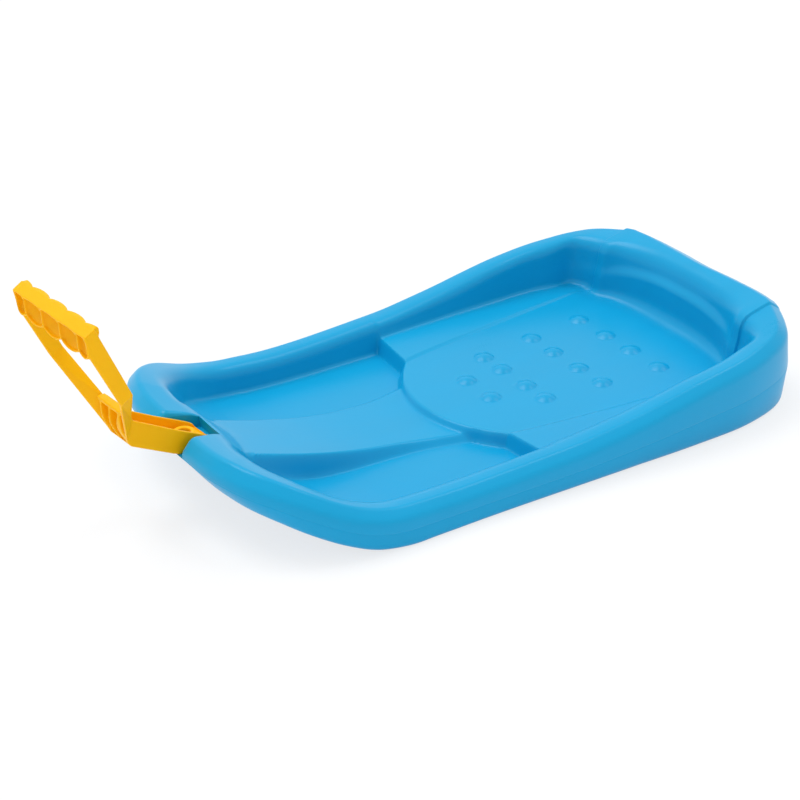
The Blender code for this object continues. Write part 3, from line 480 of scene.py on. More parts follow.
def wall_lines(sizes):
    """Half the hull's wall lines, from the floor over the rim to the underside, and their spine points."""
    spots, outward, spine = sections()
    nx = outward[:, 0]
    x = spots[:, 0]
    across = straight_back(spots, outward)
    lean = by_facing(nx, (0.0, REAR_LEAN, 0.0, REAR_LEAN_CORNER))
    tuck = NOSE_TUCK * clamp(nx) ** NOSE_TUCK_BLEND
    waist = clamp((x - SEAT_X) / (NOSE_X - WAIST_BACK - SEAT_X))
    low = mix(BOTTOM_TUCK, BOTTOM_TUCK_WAIST, waist)
    seam = smooth((PLATFORM_HALF + SEAM_WIDTH - spots[:, 1]) / SEAM_WIDTH) * (nx < 0) * (x < SEAT_X)
    rise = PLATFORM_RISE * seam
    inner = by_facing(nx, RIM) + PLATFORM_STEP * seam
    draft = by_facing(nx, DRAFT)
    foot = by_facing(nx, FOOT_FILLET)
    rear = by_facing(nx, BACK_CHAMFER_SHARE)
    crest_run = BACK_CHAMFER_RUN * rear

    def at(inset, height):
        plan = spots - across * np.reshape(inset, (-1, 1))
        if callable(height):
            height = height(plan[:, 0], plan[:, 1])
        return np.column_stack([plan, height])

    def crest(inset):
        sag = NOSE_SAG * clamp((nx - NOSE_SAG_FACING) / (1 - NOSE_SAG_FACING))
        return look_up(CREST, x - across[:, 0] * inset) - sag

    def pan(px, py):
        return floor_height(px, py, sizes)

    bottom = look_up(KEEL, x - across[:, 0] * (low + BOTTOM_ROUNDING + tuck))
    parting_share = by_facing(nx, (PARTING_SHARE, PARTING_SHARE, PARTING_SHARE_NOSE, PARTING_SHARE))
    parting = mix(bottom, crest(0.0 * x), parting_share)
    corner = at(inner + draft, pan)
    brow = at(inner - crest_run, crest(inner) + rise)
    line = corner - brow
    chamfer = []
    for share, ahead, fall in BACK_CHAMFER:
        back = at(inner + ahead, crest(inner) + rise - fall)
        chamfer.append(mix(brow + line * share, back, rear[:, None]))
    outer = OUTER_ROUNDING + lean
    fall = np.minimum(by_facing(nx, SHOULDER_FALL), SHOULDER_FALL_LIMIT * (crest(outer) - parting))
    corners = np.stack([
        at(inner + draft + foot, pan), corner, chamfer[1], chamfer[0], brow,
        at(outer, crest(outer) + rise),
        at(lean * REAR_LEAN_SHARE, crest(outer) - fall + rise / 2),
        at(0 * x, parting + 2 * PARTING_GROOVE), at(PARTING_GROOVE + 0 * x, parting),
        at(0 * x, parting - 2 * PARTING_GROOVE),
        at(low + tuck * NOSE_TUCK_SHARE, bottom), at(low + BOTTOM_ROUNDING + tuck, bottom),
    ], axis=1)
    even = np.ones(len(x))
    setbacks = [foot, *(size * even for size in CHAMFER_ROUNDING), by_facing(nx, BROW_ROUNDING)]
    setbacks += [by_facing(nx, EDGE_ROUNDING), SHOULDER_ROUNDING * even]
    setbacks += [size * even for size in (*GROOVE_ROUNDING, BOTTOM_ROUNDING)]
    lines = rounded(corners, setbacks, ROUNDING_SHARES, ROUNDING_STEPS)
    px, py, pz = lines[..., 0], lines[..., 1], lines[..., 2]
    ahead = clamp((px - NOSE_X + SLOT_REAR_BACK) / SLOT_REAR_BACK)
    radius = mix(SLOT_LIP[0], SLOT_LIP[1], ahead)
    inward = clamp(radius - (py - slot_half(px)), 0.0, radius)
    drop = (radius - np.sqrt(radius ** 2 - inward ** 2)) * (px > NOSE_X - SLOT_REAR_BACK)
    lines[..., 2] = pz - drop * clamp((pz - SLOT_FLOOR) / (look_up(CREST, px) - SLOT_FLOOR))
    return lines, spine


def ring_faces(count, rows):
    """Quads between neighbouring lines of a closed ring of points, row after row."""
    i = np.arange(count)[:, None]
    j = (i + 1) % count
    row = np.arange(rows - 1)[None, :]
    here = i * rows + row
    beside = j * rows + row
    return np.stack([here, beside, beside + 1, here + 1], -1).reshape(-1, 4)


def mesh_object(name, points, faces):
    """Object from points and faces, with doubles merged, no flat faces and all faces outward."""
    mesh = bpy.data.meshes.new(name)
    mesh.from_pydata([tuple(p) for p in points], [], [tuple(f) for f in faces])
    tidy = bmesh.new()
    tidy.from_mesh(mesh)
    bmesh.ops.remove_doubles(tidy, verts=tidy.verts, dist=MERGE_DISTANCE)
    bmesh.ops.dissolve_degenerate(tidy, edges=tidy.edges, dist=FLAT_DISTANCE)
    bmesh.ops.recalc_face_normals(tidy, faces=tidy.faces)
    tidy.to_mesh(mesh)
    tidy.free()
    made = bpy.data.objects.new(name, mesh)
    bpy.context.scene.collection.objects.link(made)
    return made


def hull_skin(sizes):
    """Closed outer skin of the hull, before the slot and holes are cut."""
    half, spine = wall_lines(sizes)
    mirror = np.array([1.0, -1.0, 1.0])
    lines = np.concatenate([half, half[-2:0:-1] * mirror])
    spine = np.concatenate([spine, spine[-2:0:-1]])
    share = np.concatenate([np.arange(*stretch) for stretch in PAN_STRETCHES])[None, :, None]
    plan = spine[:, None] + (lines[:, :1, :2] - spine[:, None]) * share
    pan = np.concatenate([plan, floor_height(plan[..., 0], plan[..., 1], sizes)[..., None]], axis=2)
    share = np.linspace(1, 0, UNDERSIDE_LINES)[None, 1:, None]
    plan = spine[:, None] + (lines[:, -1:, :2] - spine[:, None]) * share
    under = np.concatenate([plan, look_up(KEEL, plan[..., 0])[..., None]], axis=2)
    grid = np.concatenate([pan, lines, under], axis=1)
    return mesh_object("hull_skin", grid.reshape(-1, 3), ring_faces(grid.shape[0], grid.shape[1]))


def bake(made):
    """Replace an object's mesh by its evaluated one, with no modifier left on it."""
    graph = bpy.context.evaluated_depsgraph_get()
    mesh = bpy.data.meshes.new_from_object(made.evaluated_get(graph))
    made.modifiers.clear()
    made.data = mesh
    return made


def combine(target, tools, operation="DIFFERENCE", solver="MANIFOLD"):
    """Cut tools from a target, or add them to it, and drop the tools."""
    for tool in tools:
        modifier = target.modifiers.new(tool.name, "BOOLEAN")
        modifier.operation = operation
        modifier.solver = solver
        modifier.object = tool
        tool.hide_render = True
        bake(target)
        bpy.data.objects.remove(tool, do_unlink=True)
    return target


def loft(name, rings):
    """Closed solid through rings of points with equal counts."""
    rings = np.array(rings, float)
    count, sides = rings.shape[:2]
    faces = []
    for i in range(count - 1):
        for k in range(sides):
            n = (k + 1) % sides
            faces.append((i * sides + k, i * sides + n, (i + 1) * sides + n, (i + 1) * sides + k))
    faces.append(tuple(range(sides)))
    faces.append(tuple(range((count - 1) * sides, count * sides)))
    made = mesh_object(name, rings.reshape(-1, 3), faces)
    split = bmesh.new()
    split.from_mesh(made.data)
    bmesh.ops.triangulate(split, faces=split.faces)
    split.to_mesh(made.data)
    split.free()
    return made


def prism(name, outline, low, high, axis="Z"):
    """Closed solid from an outline: x, y along Z, or x, z along Y."""
    if axis == "Z":
        return loft(name, [[(a, b, level) for a, b in outline] for level in (low, high)])
    return loft(name, [[(a, level, b) for a, b in outline] for level in (low, high)])


def circle(radius, sides, x=0.0):
    turns = [math.tau * i / sides for i in range(sides)]
    return [(x + radius * math.cos(a), radius * math.sin(a)) for a in turns]


class GeometryMaker:
    """Adds Geometry Nodes to a tree, each in one call."""

    def __init__(self, name):
        self.tree = bpy.data.node_groups.new(name, "GeometryNodeTree")
        self.sockets = {}

    def input(self, name, kind, default=None, subtype=None):
        socket = self.tree.interface.new_socket(name=name, in_out="INPUT", socket_type=kind)
        if default is not None:
            socket.default_value = default
        if subtype:
            socket.subtype = subtype
        self.sockets[name] = socket

    def node(self, kind, settings=None, **inputs):
        """A node with its inputs set by name, or as i0, i1 and so on by place."""
        made = self.tree.nodes.new(kind)
        for key, value in (settings or {}).items():
            setattr(made, key, value)
        for key, value in inputs.items():
            target = made.inputs[int(key[1:])] if key[0] == "i" and key[1:].isdigit() else made.inputs[key]
            if isinstance(value, bpy.types.NodeSocket):
                self.tree.links.new(value, target)
            else:
                target.default_value = value
        return made

    def maths(self, operation, a, b):
        return self.node("ShaderNodeMath", {"operation": operation}, i0=a, i1=b).outputs[0]


def dome_tree():
    """Geometry Nodes tree that sets one soft dome on each point of a mesh."""
    maker = GeometryMaker("seat_domes")
    maker.input("Points", "NodeSocketGeometry")
    maker.input("Radius", "NodeSocketFloat", DOME_RADIUS, "DISTANCE")
    maker.input("Height", "NodeSocketFloat", DOME_HEIGHT, "DISTANCE")
    maker.input("Root", "NodeSocketFloat", DOME_ROOT, "DISTANCE")
    maker.input("Slope", "NodeSocketFloat", SEAT_SLOPE)
    maker.input("Material", "NodeSocketMaterial")
    maker.tree.interface.new_socket(name="Domes", in_out="OUTPUT", socket_type="NodeSocketGeometry")
    given = maker.node("NodeGroupInput").outputs
    ball = maker.node("GeometryNodeMeshUVSphere", Segments=DOME_SEGMENTS, Rings=DOME_RINGS, Radius=1.0)
    place = maker.node("GeometryNodeInputPosition").outputs[0]
    part = maker.node("ShaderNodeSeparateXYZ", Vector=place).outputs
    up = maker.maths("MAXIMUM", part["Z"], 0.0)
    down = maker.maths("MINIMUM", part["Z"], 0.0)
    bulge = maker.maths("MULTIPLY", maker.maths("POWER", up, DOME_ROUNDNESS), given["Height"])
    height = maker.maths("ADD", bulge, maker.maths("MULTIPLY", down, given["Root"]))
    wide_x = maker.maths("MULTIPLY", part["X"], given["Radius"])
    wide_y = maker.maths("MULTIPLY", part["Y"], given["Radius"])
    level = maker.maths("SUBTRACT", height, maker.maths("MULTIPLY", wide_x, given["Slope"]))
    spot = maker.node("ShaderNodeCombineXYZ", X=wide_x, Y=wide_y, Z=level).outputs[0]
    shaped = maker.node("GeometryNodeSetPosition", Geometry=ball.outputs["Mesh"], Position=spot).outputs[0]
    placed = maker.node("GeometryNodeInstanceOnPoints", Points=given["Points"], Instance=shaped).outputs[0]
    real = maker.node("GeometryNodeRealizeInstances", Geometry=placed).outputs[0]
    painted = maker.node("GeometryNodeSetMaterial", Geometry=real, Material=given["Material"]).outputs[0]
    maker.node("NodeGroupOutput", Domes=painted)
    return maker


def seat_domes(sizes, shader):
    """The seat's domes as one mesh, rooted just under the seat."""
    spots = []
    for dx, halves in DOME_ROWS:
        for half in halves:
            for y in (half, -half):
                x = SEAT_X + dx
                spots.append((x, y, float(floor_height(x, y, sizes)) - DOME_SINK))
    mesh = bpy.data.meshes.new("seat_domes")
    mesh.from_pydata(spots, [], [])
    domes = bpy.data.objects.new("seat_domes", mesh)
    bpy.context.scene.collection.objects.link(domes)
    maker = dome_tree()
    modifier = domes.modifiers.new("seat_domes", "NODES")
    modifier.node_group = maker.tree
    modifier[maker.sockets["Radius"].identifier] = sizes.dome_radius
    modifier[maker.sockets["Height"].identifier] = sizes.dome_height
    modifier[maker.sockets["Material"].identifier] = shader
    return bake(domes)


class Value:
    """A number from a node. Python's arithmetic on it adds Math nodes."""

    def __init__(self, maker, socket):
        self.maker = maker
        self.socket = socket

    def maths(self, operation, a, b):
        made = self.maker.node("ShaderNodeMath", {"operation": operation}, {0: a, 1: b})
        return Value(self.maker, made.outputs[0])

    def __add__(self, other):
        return self.maths("ADD", self, other)

    def __sub__(self, other):
        return self.maths("SUBTRACT", self, other)

    def __rsub__(self, other):
        return self.maths("SUBTRACT", other, self)

    def __mul__(self, other):
        return self.maths("MULTIPLY", self, other)

    __radd__ = __add__
    __rmul__ = __mul__


class NodeMaker:
    """Adds nodes to a shader tree, each in one call."""

    def __init__(self, tree):
        self.tree = tree

    def node(self, kind, settings=None, inputs=None):
        made = self.tree.nodes.new(kind)
        for key, value in (settings or {}).items():
            setattr(made, key, value)
        for key, value in (inputs or {}).items():
            self.feed(made.inputs[key], value)
        return made

    def feed(self, target, value):
        if isinstance(value, Value):
            value = value.socket
        if isinstance(value, bpy.types.NodeSocket):
            self.tree.links.new(value, target)
        else:
            target.default_value = value

    def where(self, stretch=(1.0, 1.0, 1.0)):
        """Places on the object itself, stretched by a factor along each axis."""
        place = self.node("ShaderNodeTexCoord").outputs["Object"]
        return self.node("ShaderNodeMapping", None, {"Vector": place, "Scale": stretch}).outputs[0]

    def noise(self, place, scale, detail):
        made = self.node("ShaderNodeTexNoise", None, {"Vector": place, "Scale": scale, "Detail": detail})
        return Value(self, made.outputs[0])

    def blend(self, share, one, two):
        """Mix of two colours, of which the first may come from a node. Inputs 6 and 7 take them."""
        if not isinstance(one, bpy.types.NodeSocket):
            one = (*one, 1.0)
        made = self.node("ShaderNodeMix", {"data_type": "RGBA", "clamp_factor": True}, {
            "Factor": share, 6: one, 7: (*two, 1.0)})
        return made.outputs[2]

    def backdrop_share(self):
        """1 for rays that show the backdrop: from the camera, off a gloss or through a clear face."""
        rays = self.node("ShaderNodeLightPath").outputs
        share = Value(self, rays["Is Camera Ray"])
        for name in ("Is Glossy Ray", "Is Transmission Ray"):
            share = share.maths("MAXIMUM", share, rays[name])
        return share


class ShaderMaker(NodeMaker):
    """A material and its nodes."""

    def __init__(self, name):
        self.material = bpy.data.materials.new(name)
        self.material.use_nodes = True
        super().__init__(self.material.node_tree)
        self.shader = self.tree.nodes["Principled BSDF"]

    def set(self, **values):
        for key, value in values.items():
            self.feed(self.shader.inputs[key.replace("_", " ")], value)

    def bump(self, height, distance, strength):
        made = self.node("ShaderNodeBump", None, {
            "Height": height, "Distance": distance, "Strength": strength})
        self.feed(self.shader.inputs["Normal"], made.outputs[0])


def tinted(colour, factor):
    return tuple(min(1.0, part * factor) for part in colour)


def polyethylene(colour):
    """Blow-moulded blue: faint flow marks, an orange-peel skin and a satin sheen."""
    maker = ShaderMaker("blue_polyethylene")
    place = maker.where()
    flow = maker.noise(maker.where(stretch=(1.0, 3.0, 2.0)), scale=7.0, detail=3.0)
    peel = maker.noise(place, scale=210.0, detail=2.0)
    grain = maker.noise(place, scale=1300.0, detail=1.0)
    maker.set(Base_Color=maker.blend(flow, tinted(colour, 0.955), tinted(colour, 1.045)))
    maker.set(Roughness=0.23 + 0.10 * flow + 0.04 * grain)
    maker.set(IOR=1.5, Specular_IOR_Level=0.22)
    maker.bump(0.72 * peel + 0.28 * grain, distance=0.00012, strength=0.6)
    return maker.material


def polypropylene(colour):
    """Injection-moulded yellow: slight depth of colour, fine grain and a satin sheen."""
    maker = ShaderMaker("yellow_polypropylene")
    place = maker.where()
    cloud = maker.noise(place, scale=26.0, detail=2.0)
    grain = maker.noise(place, scale=1500.0, detail=2.0)
    ripple = maker.noise(place, scale=170.0, detail=1.0)
    maker.set(Base_Color=maker.blend(cloud, tinted(colour, 0.95), tinted(colour, 1.04)))
    maker.set(Roughness=0.32 + 0.08 * cloud + 0.06 * grain)
    maker.set(IOR=1.49, Specular_IOR_Level=0.12)
    maker.set(Subsurface_Weight=0.12, Subsurface_Radius=(1.0, 0.4, 0.1), Subsurface_Scale=0.002)
    maker.bump(0.5 * grain + 0.5 * ripple, distance=0.0001, strength=0.5)
    return maker.material


def zinc_plate(colour):
    """Zinc-plated steel: fine turning marks and patchy passivation."""
    maker = ShaderMaker("zinc_plated_steel")
    patch = maker.noise(maker.where(), scale=420.0, detail=3.0)
    marks = maker.noise(maker.where(stretch=(1.0, 1.0, 14.0)), scale=900.0, detail=2.0)
    maker.set(Base_Color=maker.blend(patch, tinted(colour, 0.85), tinted(colour, 1.08)))
    maker.set(Roughness=0.24 + 0.16 * patch)
    maker.set(Metallic=1.0)
    maker.bump(marks, distance=0.00003, strength=0.5)
    return maker.material


def paint(made, material):
    made.data.materials.clear()
    made.data.materials.append(material)
    return made


def handle_bracket():
    """Open channel between the swivel and the elbow."""
    low = SLOT_FLOOR + RUN_GAP
    side = [(-BRACKET_REAR, low)]
    side += [(x, low + h) for x, h in BRACKET_UNDERSIDE]
    side += [(x, SLOT_FLOOR + h) for x, h in ELBOW_FRONT + BRACKET_TOP]
    side.append((BRACKET_TAIL[0], SLOT_FLOOR + BRACKET_TAIL[1]))
    body = prism("tow_handle_skin", side, -BRACKET_HALF, BRACKET_HALF, "Y")
    combine(body, [prism("bracket_plan", bracket_plan(0.0), 0.0, TOOL_REACH)], "INTERSECT", "EXACT")
    flat_end, rise_start, rise_end = BRACKET_UNDERSIDE
    floor = low + BRACKET_FLOOR
    slope = (rise_end[1] - rise_start[1]) / (rise_end[0] - rise_start[0])
    front = BRACKET_TOP[1][0]
    channel = [
        (-TOOL_REACH, floor), (flat_end[0], floor), (rise_start[0], floor + rise_start[1]),
        (front, floor + rise_start[1] + slope * (front - rise_start[0])), (front, TOOL_REACH),
        (-TOOL_REACH, TOOL_REACH),
    ]
    pocket = prism("bracket_pocket", channel, -BRACKET_HALF, BRACKET_HALF, "Y")
    combine(pocket, [prism("pocket_plan", bracket_plan(BRACKET_WALL), 0.0, TOOL_REACH)], "INTERSECT", "EXACT")
    reach = BRACKET_HALF - BRACKET_WALL
    recesses = [elbow_recess(-reach, -ELBOW_RIB / 2, (0.0, ELBOW_BOW)),
                elbow_recess(ELBOW_RIB / 2, reach, (ELBOW_BOW, 2 * ELBOW_BOW))]
    return combine(body, [pocket] + recesses, "DIFFERENCE", "EXACT")


def bracket_plan(wall):
    """Plan of the bracket, or of its inside where a wall is given, open towards the elbow."""
    radius = BRACKET_CORNER - wall
    cx = BRACKET_CORNER - BRACKET_REAR
    cy = BRACKET_HALF - BRACKET_CORNER
    turns = [math.radians(90 + 90 * i / PLAN_CORNER_STEPS) for i in range(PLAN_CORNER_STEPS + 1)]
    left = [(cx + radius * math.cos(a), cy + radius * math.sin(a)) for a in turns]
    front = [(TOOL_REACH, wall - BRACKET_HALF), (TOOL_REACH, BRACKET_HALF - wall)]
    return front + left + [(x, -y) for x, y in reversed(left)]


def elbow_recess(left, right, bows):
    """Recess in the elbow's front between two sides that bow by their own amounts."""
    back = BRACKET_TOP[1][0] + ELBOW_WEB
    floor = SLOT_FLOOR + BRACKET_UNDERSIDE[-1][1] + ELBOW_WEB
    ceiling = SLOT_FLOOR + BRACKET_TOP[0][1] - ELBOW_WEB
    shares = [i / ELBOW_STEPS for i in range(ELBOW_STEPS + 1)]
    border = [(left - bows[0] * math.sin(math.pi * t), mix(floor, ceiling, t)) for t in shares]
    border += [(right - bows[1] * math.sin(math.pi * t), mix(floor, ceiling, t)) for t in reversed(shares)]
    lean = ELBOW_LEAN / (ceiling - floor)
    return loft("elbow_recess", [[(back + lean * (z - floor), y, z) for y, z in border],
                                 [(TOOL_REACH, y, z) for y, z in border]])


def handle_arm(side):
    """Strap arm from the bracket to the grip: side is 1 for the left one and -1 for the right."""
    rings = []
    for rear, front, outer in ARM_STATIONS:
        inner = outer - ARM_THICK
        rings.append([(spot[0], side * y, SLOT_FLOOR + spot[1])
                      for spot, y in ((rear, outer), (front, outer), (front, inner), (rear, inner))])
    return loft("handle_arm", rings)


def lobe(y):
    """Share of the finger lobes' bulge along the grip, 0 between two of them."""
    share = (y / LOBE_PITCH + FULL_LOBES / 2) % 1.0
    return max(0.0, math.sin(math.pi * share)) ** LOBE_FULLNESS


def lobe_borders():
    """Places of the grip's ends and of the borders between its full lobes and the short ones at the ends."""
    width = GRIP_HALF - ARM_THICK / 2
    return [-width] + [(i - FULL_LOBES / 2) * LOBE_PITCH for i in range(FULL_LOBES + 1)] + [width]


def lobe_bottom(y):
    """Depth of the grip's underside, which rounds up at both of its ends."""
    from_round = float(clamp((abs(y) - GRIP_HALF + GRIP_END_ROUND) / GRIP_END_ROUND))
    rounding = GRIP_END_ROUND * (1.0 - math.sqrt(1.0 - from_round * from_round))
    return rounding - GRIP_DEPTH - LOBE_DROP * lobe(y)


def grip_ring(outline, y):
    """Side outline from the grip's rear top edge, as points at place y."""
    return [(GRIP_REAR_TOP[0] + ahead, y, SLOT_FLOOR + GRIP_REAR_TOP[1] + up) for ahead, up in outline]


def grip_outline(y, sizes):
    """Side outline of the grip at place y."""
    bulge = sizes.lobe_bulge * lobe(y)
    low = lobe_bottom(y)
    strap_low = -STRAP_FALL - STRAP_THICK
    round_top = [(-bulge * back - GRIP_BELLY * belly_back, -bulge * down - GRIP_BELLY * belly_down)
                 for back, belly_back, down, belly_down in LOBE_TOP]
    return [
        (STRAP_RUN, -STRAP_FALL), (0.0, 0.0), *round_top, (-bulge * LOBE_WIDE_AT, low * LOBE_WIDE_AT),
        (STRAP_RUN * LOBE_UNDER_AT[0], low * LOBE_UNDER_AT[1]),
        (STRAP_RUN * LOBE_FOOT_AT, low), (STRAP_RUN - 2 * STRAP_OVERHANG, low + STRAP_OVERHANG),
        (STRAP_RUN - STRAP_OVERHANG, strap_low), (STRAP_RUN, strap_low),
    ]


def pocket_outline(y, share, sizes):
    """Side outline of a finger pocket, whose back is round in plan: share is -1 and 1 at its ends."""
    deep = GRIP_BACK - sizes.lobe_bulge * lobe(y)
    fullness = math.sqrt(max(0.0, 1.0 - abs(share) ** POCKET_SQUARENESS))
    back = mix(STRAP_RUN * POCKET_END_AT, deep, fullness)
    low = lobe_bottom(y)
    top = -STRAP_FALL - STRAP_THICK - POCKET_DROP
    front = STRAP_RUN + POCKET_OVERRUN
    return [
        (front, top), (back, top + (STRAP_RUN - back) / 2), (back, low * LOBE_WIDE_AT),
        (max(back, STRAP_RUN * LOBE_FOOT_AT), low + GRIP_WALL), (front, low + GRIP_WALL),
    ]


def handle_skin(sizes):
    """The tow handle as one soft-edged moulding, in its place at rest."""
    body = handle_bracket()
    half = BRACKET_HALF + ELBOW_CAP_OVERHANG
    top = SLOT_FLOOR + BRACKET_TOP[0][1]
    cap_back = BRACKET_TOP[0][0] + ELBOW_CAP_RISE
    cap_front = ELBOW_FRONT[-1][0] - ELBOW_CAP_RISE / 2
    cap = [(cap_back, top - ELBOW_WEB), (cap_front, top - ELBOW_WEB), (cap_front, top + ELBOW_CAP_RISE),
           (cap_back, top + ELBOW_CAP_RISE)]
    borders = lobe_borders()
    spans = list(zip(borders, borders[1:]))
    places = [mix(start, end, i / LOBE_STEPS) for start, end in spans for i in range(LOBE_STEPS)]
    places.append(borders[-1])
    boss_foot = SLOT_FLOOR + RUN_GAP + BRACKET_FLOOR / 2
    combine(body, [
        handle_arm(1), handle_arm(-1), prism("elbow_cap", cap, -half, half, "Y"),
        prism("boss", circle(BOSS_RADIUS, BOSS_SIDES), boss_foot, SLOT_FLOOR + BOSS_TOP),
        loft("grip", [grip_ring(grip_outline(y, sizes), y) for y in places]),
    ], "UNION", "EXACT")
    tools = []
    for start, end in spans:
        middle = (start + end) / 2
        reach = (end - start - LOBE_RIB) / 2
        shares = np.sin(np.linspace(-0.5, 0.5, POCKET_RINGS) * math.pi)
        rings = [grip_ring(pocket_outline(middle + reach * s, s, sizes), middle + reach * s) for s in shares]
        tools.append(loft("grip_pocket", rings))
    seat = SLOT_FLOOR + RUN_GAP + BOSS_SEAT
    tools.append(prism("pivot_bore", circle(BORE_RADIUS, BORE_SIDES), 0.0, TOOL_REACH))
    tools.append(prism("counterbore", circle(COUNTERBORE_RADIUS, BORE_SIDES), seat, TOOL_REACH))
    combine(body, tools, "DIFFERENCE", "EXACT")
    soften(body, sizes.edge_softness)
    body.data.transform(Matrix.Translation((PIVOT_X, 0.0, 0.0)) @ Matrix.Rotation(HANDLE_TURN, 4, "Z"))
    return body


def soften(made, grid):
    """Rebuild a solid on a fine even grid and relax it, so that its edges turn soft as a moulding's do."""
    remesh = made.modifiers.new("even_grid", "REMESH")
    remesh.mode = "VOXEL"
    remesh.voxel_size = grid
    relax = made.modifiers.new("relax", "SMOOTH")
    relax.factor = RELAX_FACTOR
    relax.iterations = RELAX_ROUNDS
    bake(made)


class SLED_OT_hull(bpy.types.Operator):
    """Make the hull: rim, seat, tongue, footwells and domes, with its slot and holes."""

    bl_idname = "sled.make_hull"
    bl_label = "Hull"

    def execute(self, context):
        sizes = context.scene.sled_sizes
        blue = polyethylene(tuple(context.scene.sled_colours.hull))
        hull = hull_skin(sizes)
        combine(hull, [seat_domes(sizes, blue)], "UNION")
        rear = NOSE_X - SLOT_REAR_BACK
        front = NOSE_X + SLOT_OVERRUN
        slot = [(rear, -slot_half(rear)), (front, -slot_half(front)), (front, slot_half(front)),
                (rear, slot_half(rear))]
        drain_x = REAR_X + DRAIN_FROM_REAR
        combine(hull, [
            prism("slot_cut", slot, SLOT_FLOOR, TOOL_REACH),
            prism("swivel_bore", circle(BORE_RADIUS, BORE_SIDES, PIVOT_X), 0.0, TOOL_REACH),
            prism("nut_recess", circle(RECESS_RADIUS, BOSS_SIDES, PIVOT_X), -TOOL_REACH, SWIVEL_CEILING),
            prism("drain_hole", circle(DRAIN_RADIUS, DRAIN_SIDES, drain_x), -TOOL_REACH, DRAIN_DEPTH),
        ])
        paint(hull, blue).data.shade_smooth()
        hull.data.set_sharp_from_angle(angle=math.radians(HULL_SHARP_ANGLE))
        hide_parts("hull")
        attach(hull, "hull")
        return {"FINISHED"}


class SLED_OT_handle(bpy.types.Operator):
    """Make the tow handle: swivel bracket, elbow, arms and grip in one moulding."""

    bl_idname = "sled.make_handle"
    bl_label = "Tow handle"

    def execute(self, context):
        yellow = polypropylene(tuple(context.scene.sled_colours.handle))
        handle = handle_skin(context.scene.sled_sizes)
        paint(handle, yellow).data.shade_smooth()
        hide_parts("tow_handle")
        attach(handle, "tow_handle")
        return {"FINISHED"}


class SLED_OT_fasteners(bpy.types.Operator):
    """Give the bolt, washers and nut their zinc plating. Their CAD shapes stay."""

    bl_idname = "sled.dress_fasteners"
    bl_label = "Bolt, washers and nut"

    def execute(self, context):
        steel = zinc_plate(tuple(context.scene.sled_colours.steel))
        for name in ("pivot_bolt", "head_washer", "floor_washer", "lock_nut"):
            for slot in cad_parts[name].material_slots:
                slot.material = steel
        return {"FINISHED"}


class SLED_OT_stage(bpy.types.Operator):
    """Make the studio: camera, pale floor, soft sky and two lamps."""

    bl_idname = "sled.make_stage"
    bl_label = "Studio"

    def execute(self, context):
        scene = context.scene
        lens = bpy.data.cameras.new("camera")
        lens.lens = CAMERA_LENS
        lens.sensor_width = CAMERA_SENSOR
        camera = bpy.data.objects.new("camera", lens)
        scene.collection.objects.link(camera)
        camera.location = CAMERA_SPOT
        toward_camera = camera.location - Vector(CAMERA_TARGET)
        camera.rotation_euler = toward_camera.to_track_quat("Z", "Y").to_euler()
        scene.camera = camera
        far = FLOOR_REACH
        corners = [(-far, -far, 0), (far, -far, 0), (far, far, 0), (-far, far, 0)]
        floor = mesh_object("floor", corners, [(0, 1, 2, 3)])
        paint(floor, studio_floor(tuple(scene.sled_colours.floor)))
        studio_sky(scene)
        for name, strength, width, toward in STUDIO_LAMPS:
            lamp = bpy.data.lights.new(name, "SUN")
            lamp.energy = strength
            lamp.angle = width
            sun = bpy.data.objects.new(name, lamp)
            scene.collection.objects.link(sun)
            sun.rotation_euler = Vector(toward).to_track_quat("Z", "Y").to_euler()
        scene.view_settings.view_transform = "Standard"
        return {"FINISHED"}


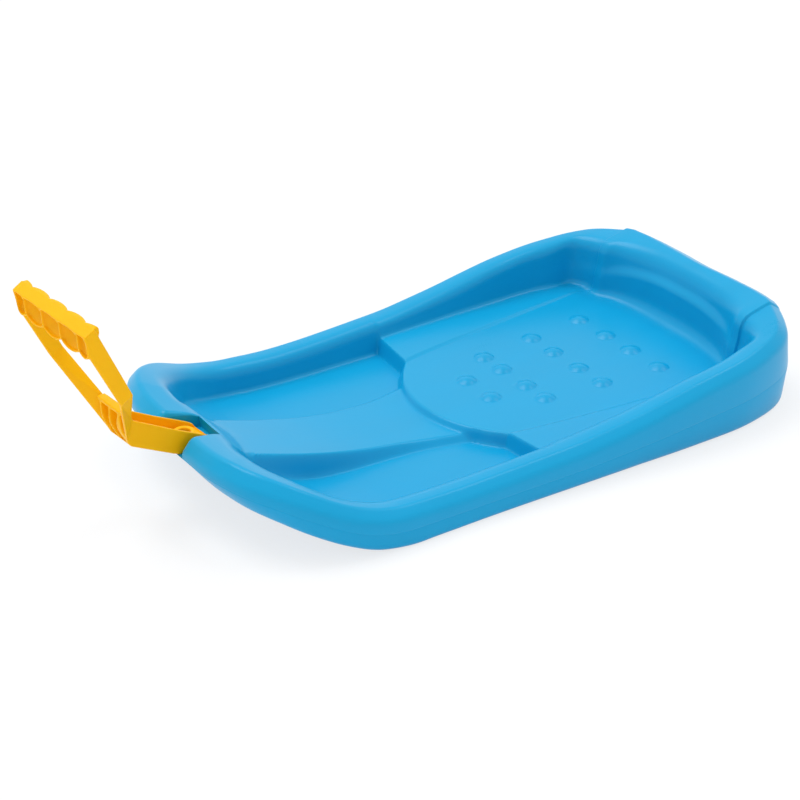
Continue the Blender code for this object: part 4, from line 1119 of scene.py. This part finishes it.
def studio_floor(colour):
    """Pale matt floor that keeps shadows and shows as nearly white."""
    maker = ShaderMaker("studio_floor")
    dust = maker.noise(maker.where(), scale=3.0, detail=2.0)
    maker.set(Base_Color=maker.blend(dust, tinted(colour, 0.998), tinted(colour, 1.0)))
    maker.set(Roughness=0.9, Specular_IOR_Level=0.0)
    glow = maker.node("ShaderNodeEmission", None, {"Color": (*WHITE, 1.0), "Strength": 1.0})
    both = maker.node("ShaderNodeMixShader", None, {
        0: FLOOR_GLOW * maker.backdrop_share(), 1: maker.shader.outputs[0], 2: glow.outputs[0]})
    maker.feed(maker.tree.nodes["Material Output"].inputs[0], both.outputs[0])
    return maker.material


def studio_sky(scene):
    """Soft sky, brighter overhead, in front of a white backdrop."""
    world = bpy.data.worlds.new("studio_sky")
    scene.world = world
    world.use_nodes = True
    maker = NodeMaker(world.node_tree)
    place = maker.node("ShaderNodeTexCoord").outputs["Generated"]
    up = Value(maker, maker.node("ShaderNodeSeparateXYZ", None, {0: place}).outputs["Z"])
    sky = maker.blend(2 * up - 1, SKY_LOW, SKY_HIGH)
    shown = maker.blend(maker.backdrop_share(), sky, WHITE)
    maker.feed(maker.tree.nodes["Background"].inputs["Color"], shown)


class SLED_PT_panel(bpy.types.Panel):
    """Lists the sled's pieces, sizes and colours."""

    bl_idname = "SLED_PT_panel"
    bl_label = "Plastic sled"
    bl_space_type = "VIEW_3D"
    bl_region_type = "UI"
    bl_category = "Sled"

    def draw(self, context):
        for group in (context.scene.sled_sizes, context.scene.sled_colours):
            for name in group.__annotations__:
                self.layout.prop(group, name)
        for operator in OPERATORS:
            self.layout.operator(operator.bl_idname)


OPERATORS = (SLED_OT_hull, SLED_OT_handle, SLED_OT_fasteners, SLED_OT_stage)
CLASSES = (SledSizes, SledColours, *OPERATORS, SLED_PT_panel)


def register():
    for made in CLASSES:
        bpy.utils.register_class(made)
    bpy.types.Scene.sled_sizes = bpy.props.PointerProperty(type=SledSizes)
    bpy.types.Scene.sled_colours = bpy.props.PointerProperty(type=SledColours)


def unregister():
    del bpy.types.Scene.sled_colours
    del bpy.types.Scene.sled_sizes
    for made in reversed(CLASSES):
        bpy.utils.unregister_class(made)


def main():
    register()
    bpy.ops.sled.make_hull()
    bpy.ops.sled.make_handle()
    bpy.ops.sled.dress_fasteners()
    bpy.ops.sled.make_stage()


if __name__ == "__main__":
    main()
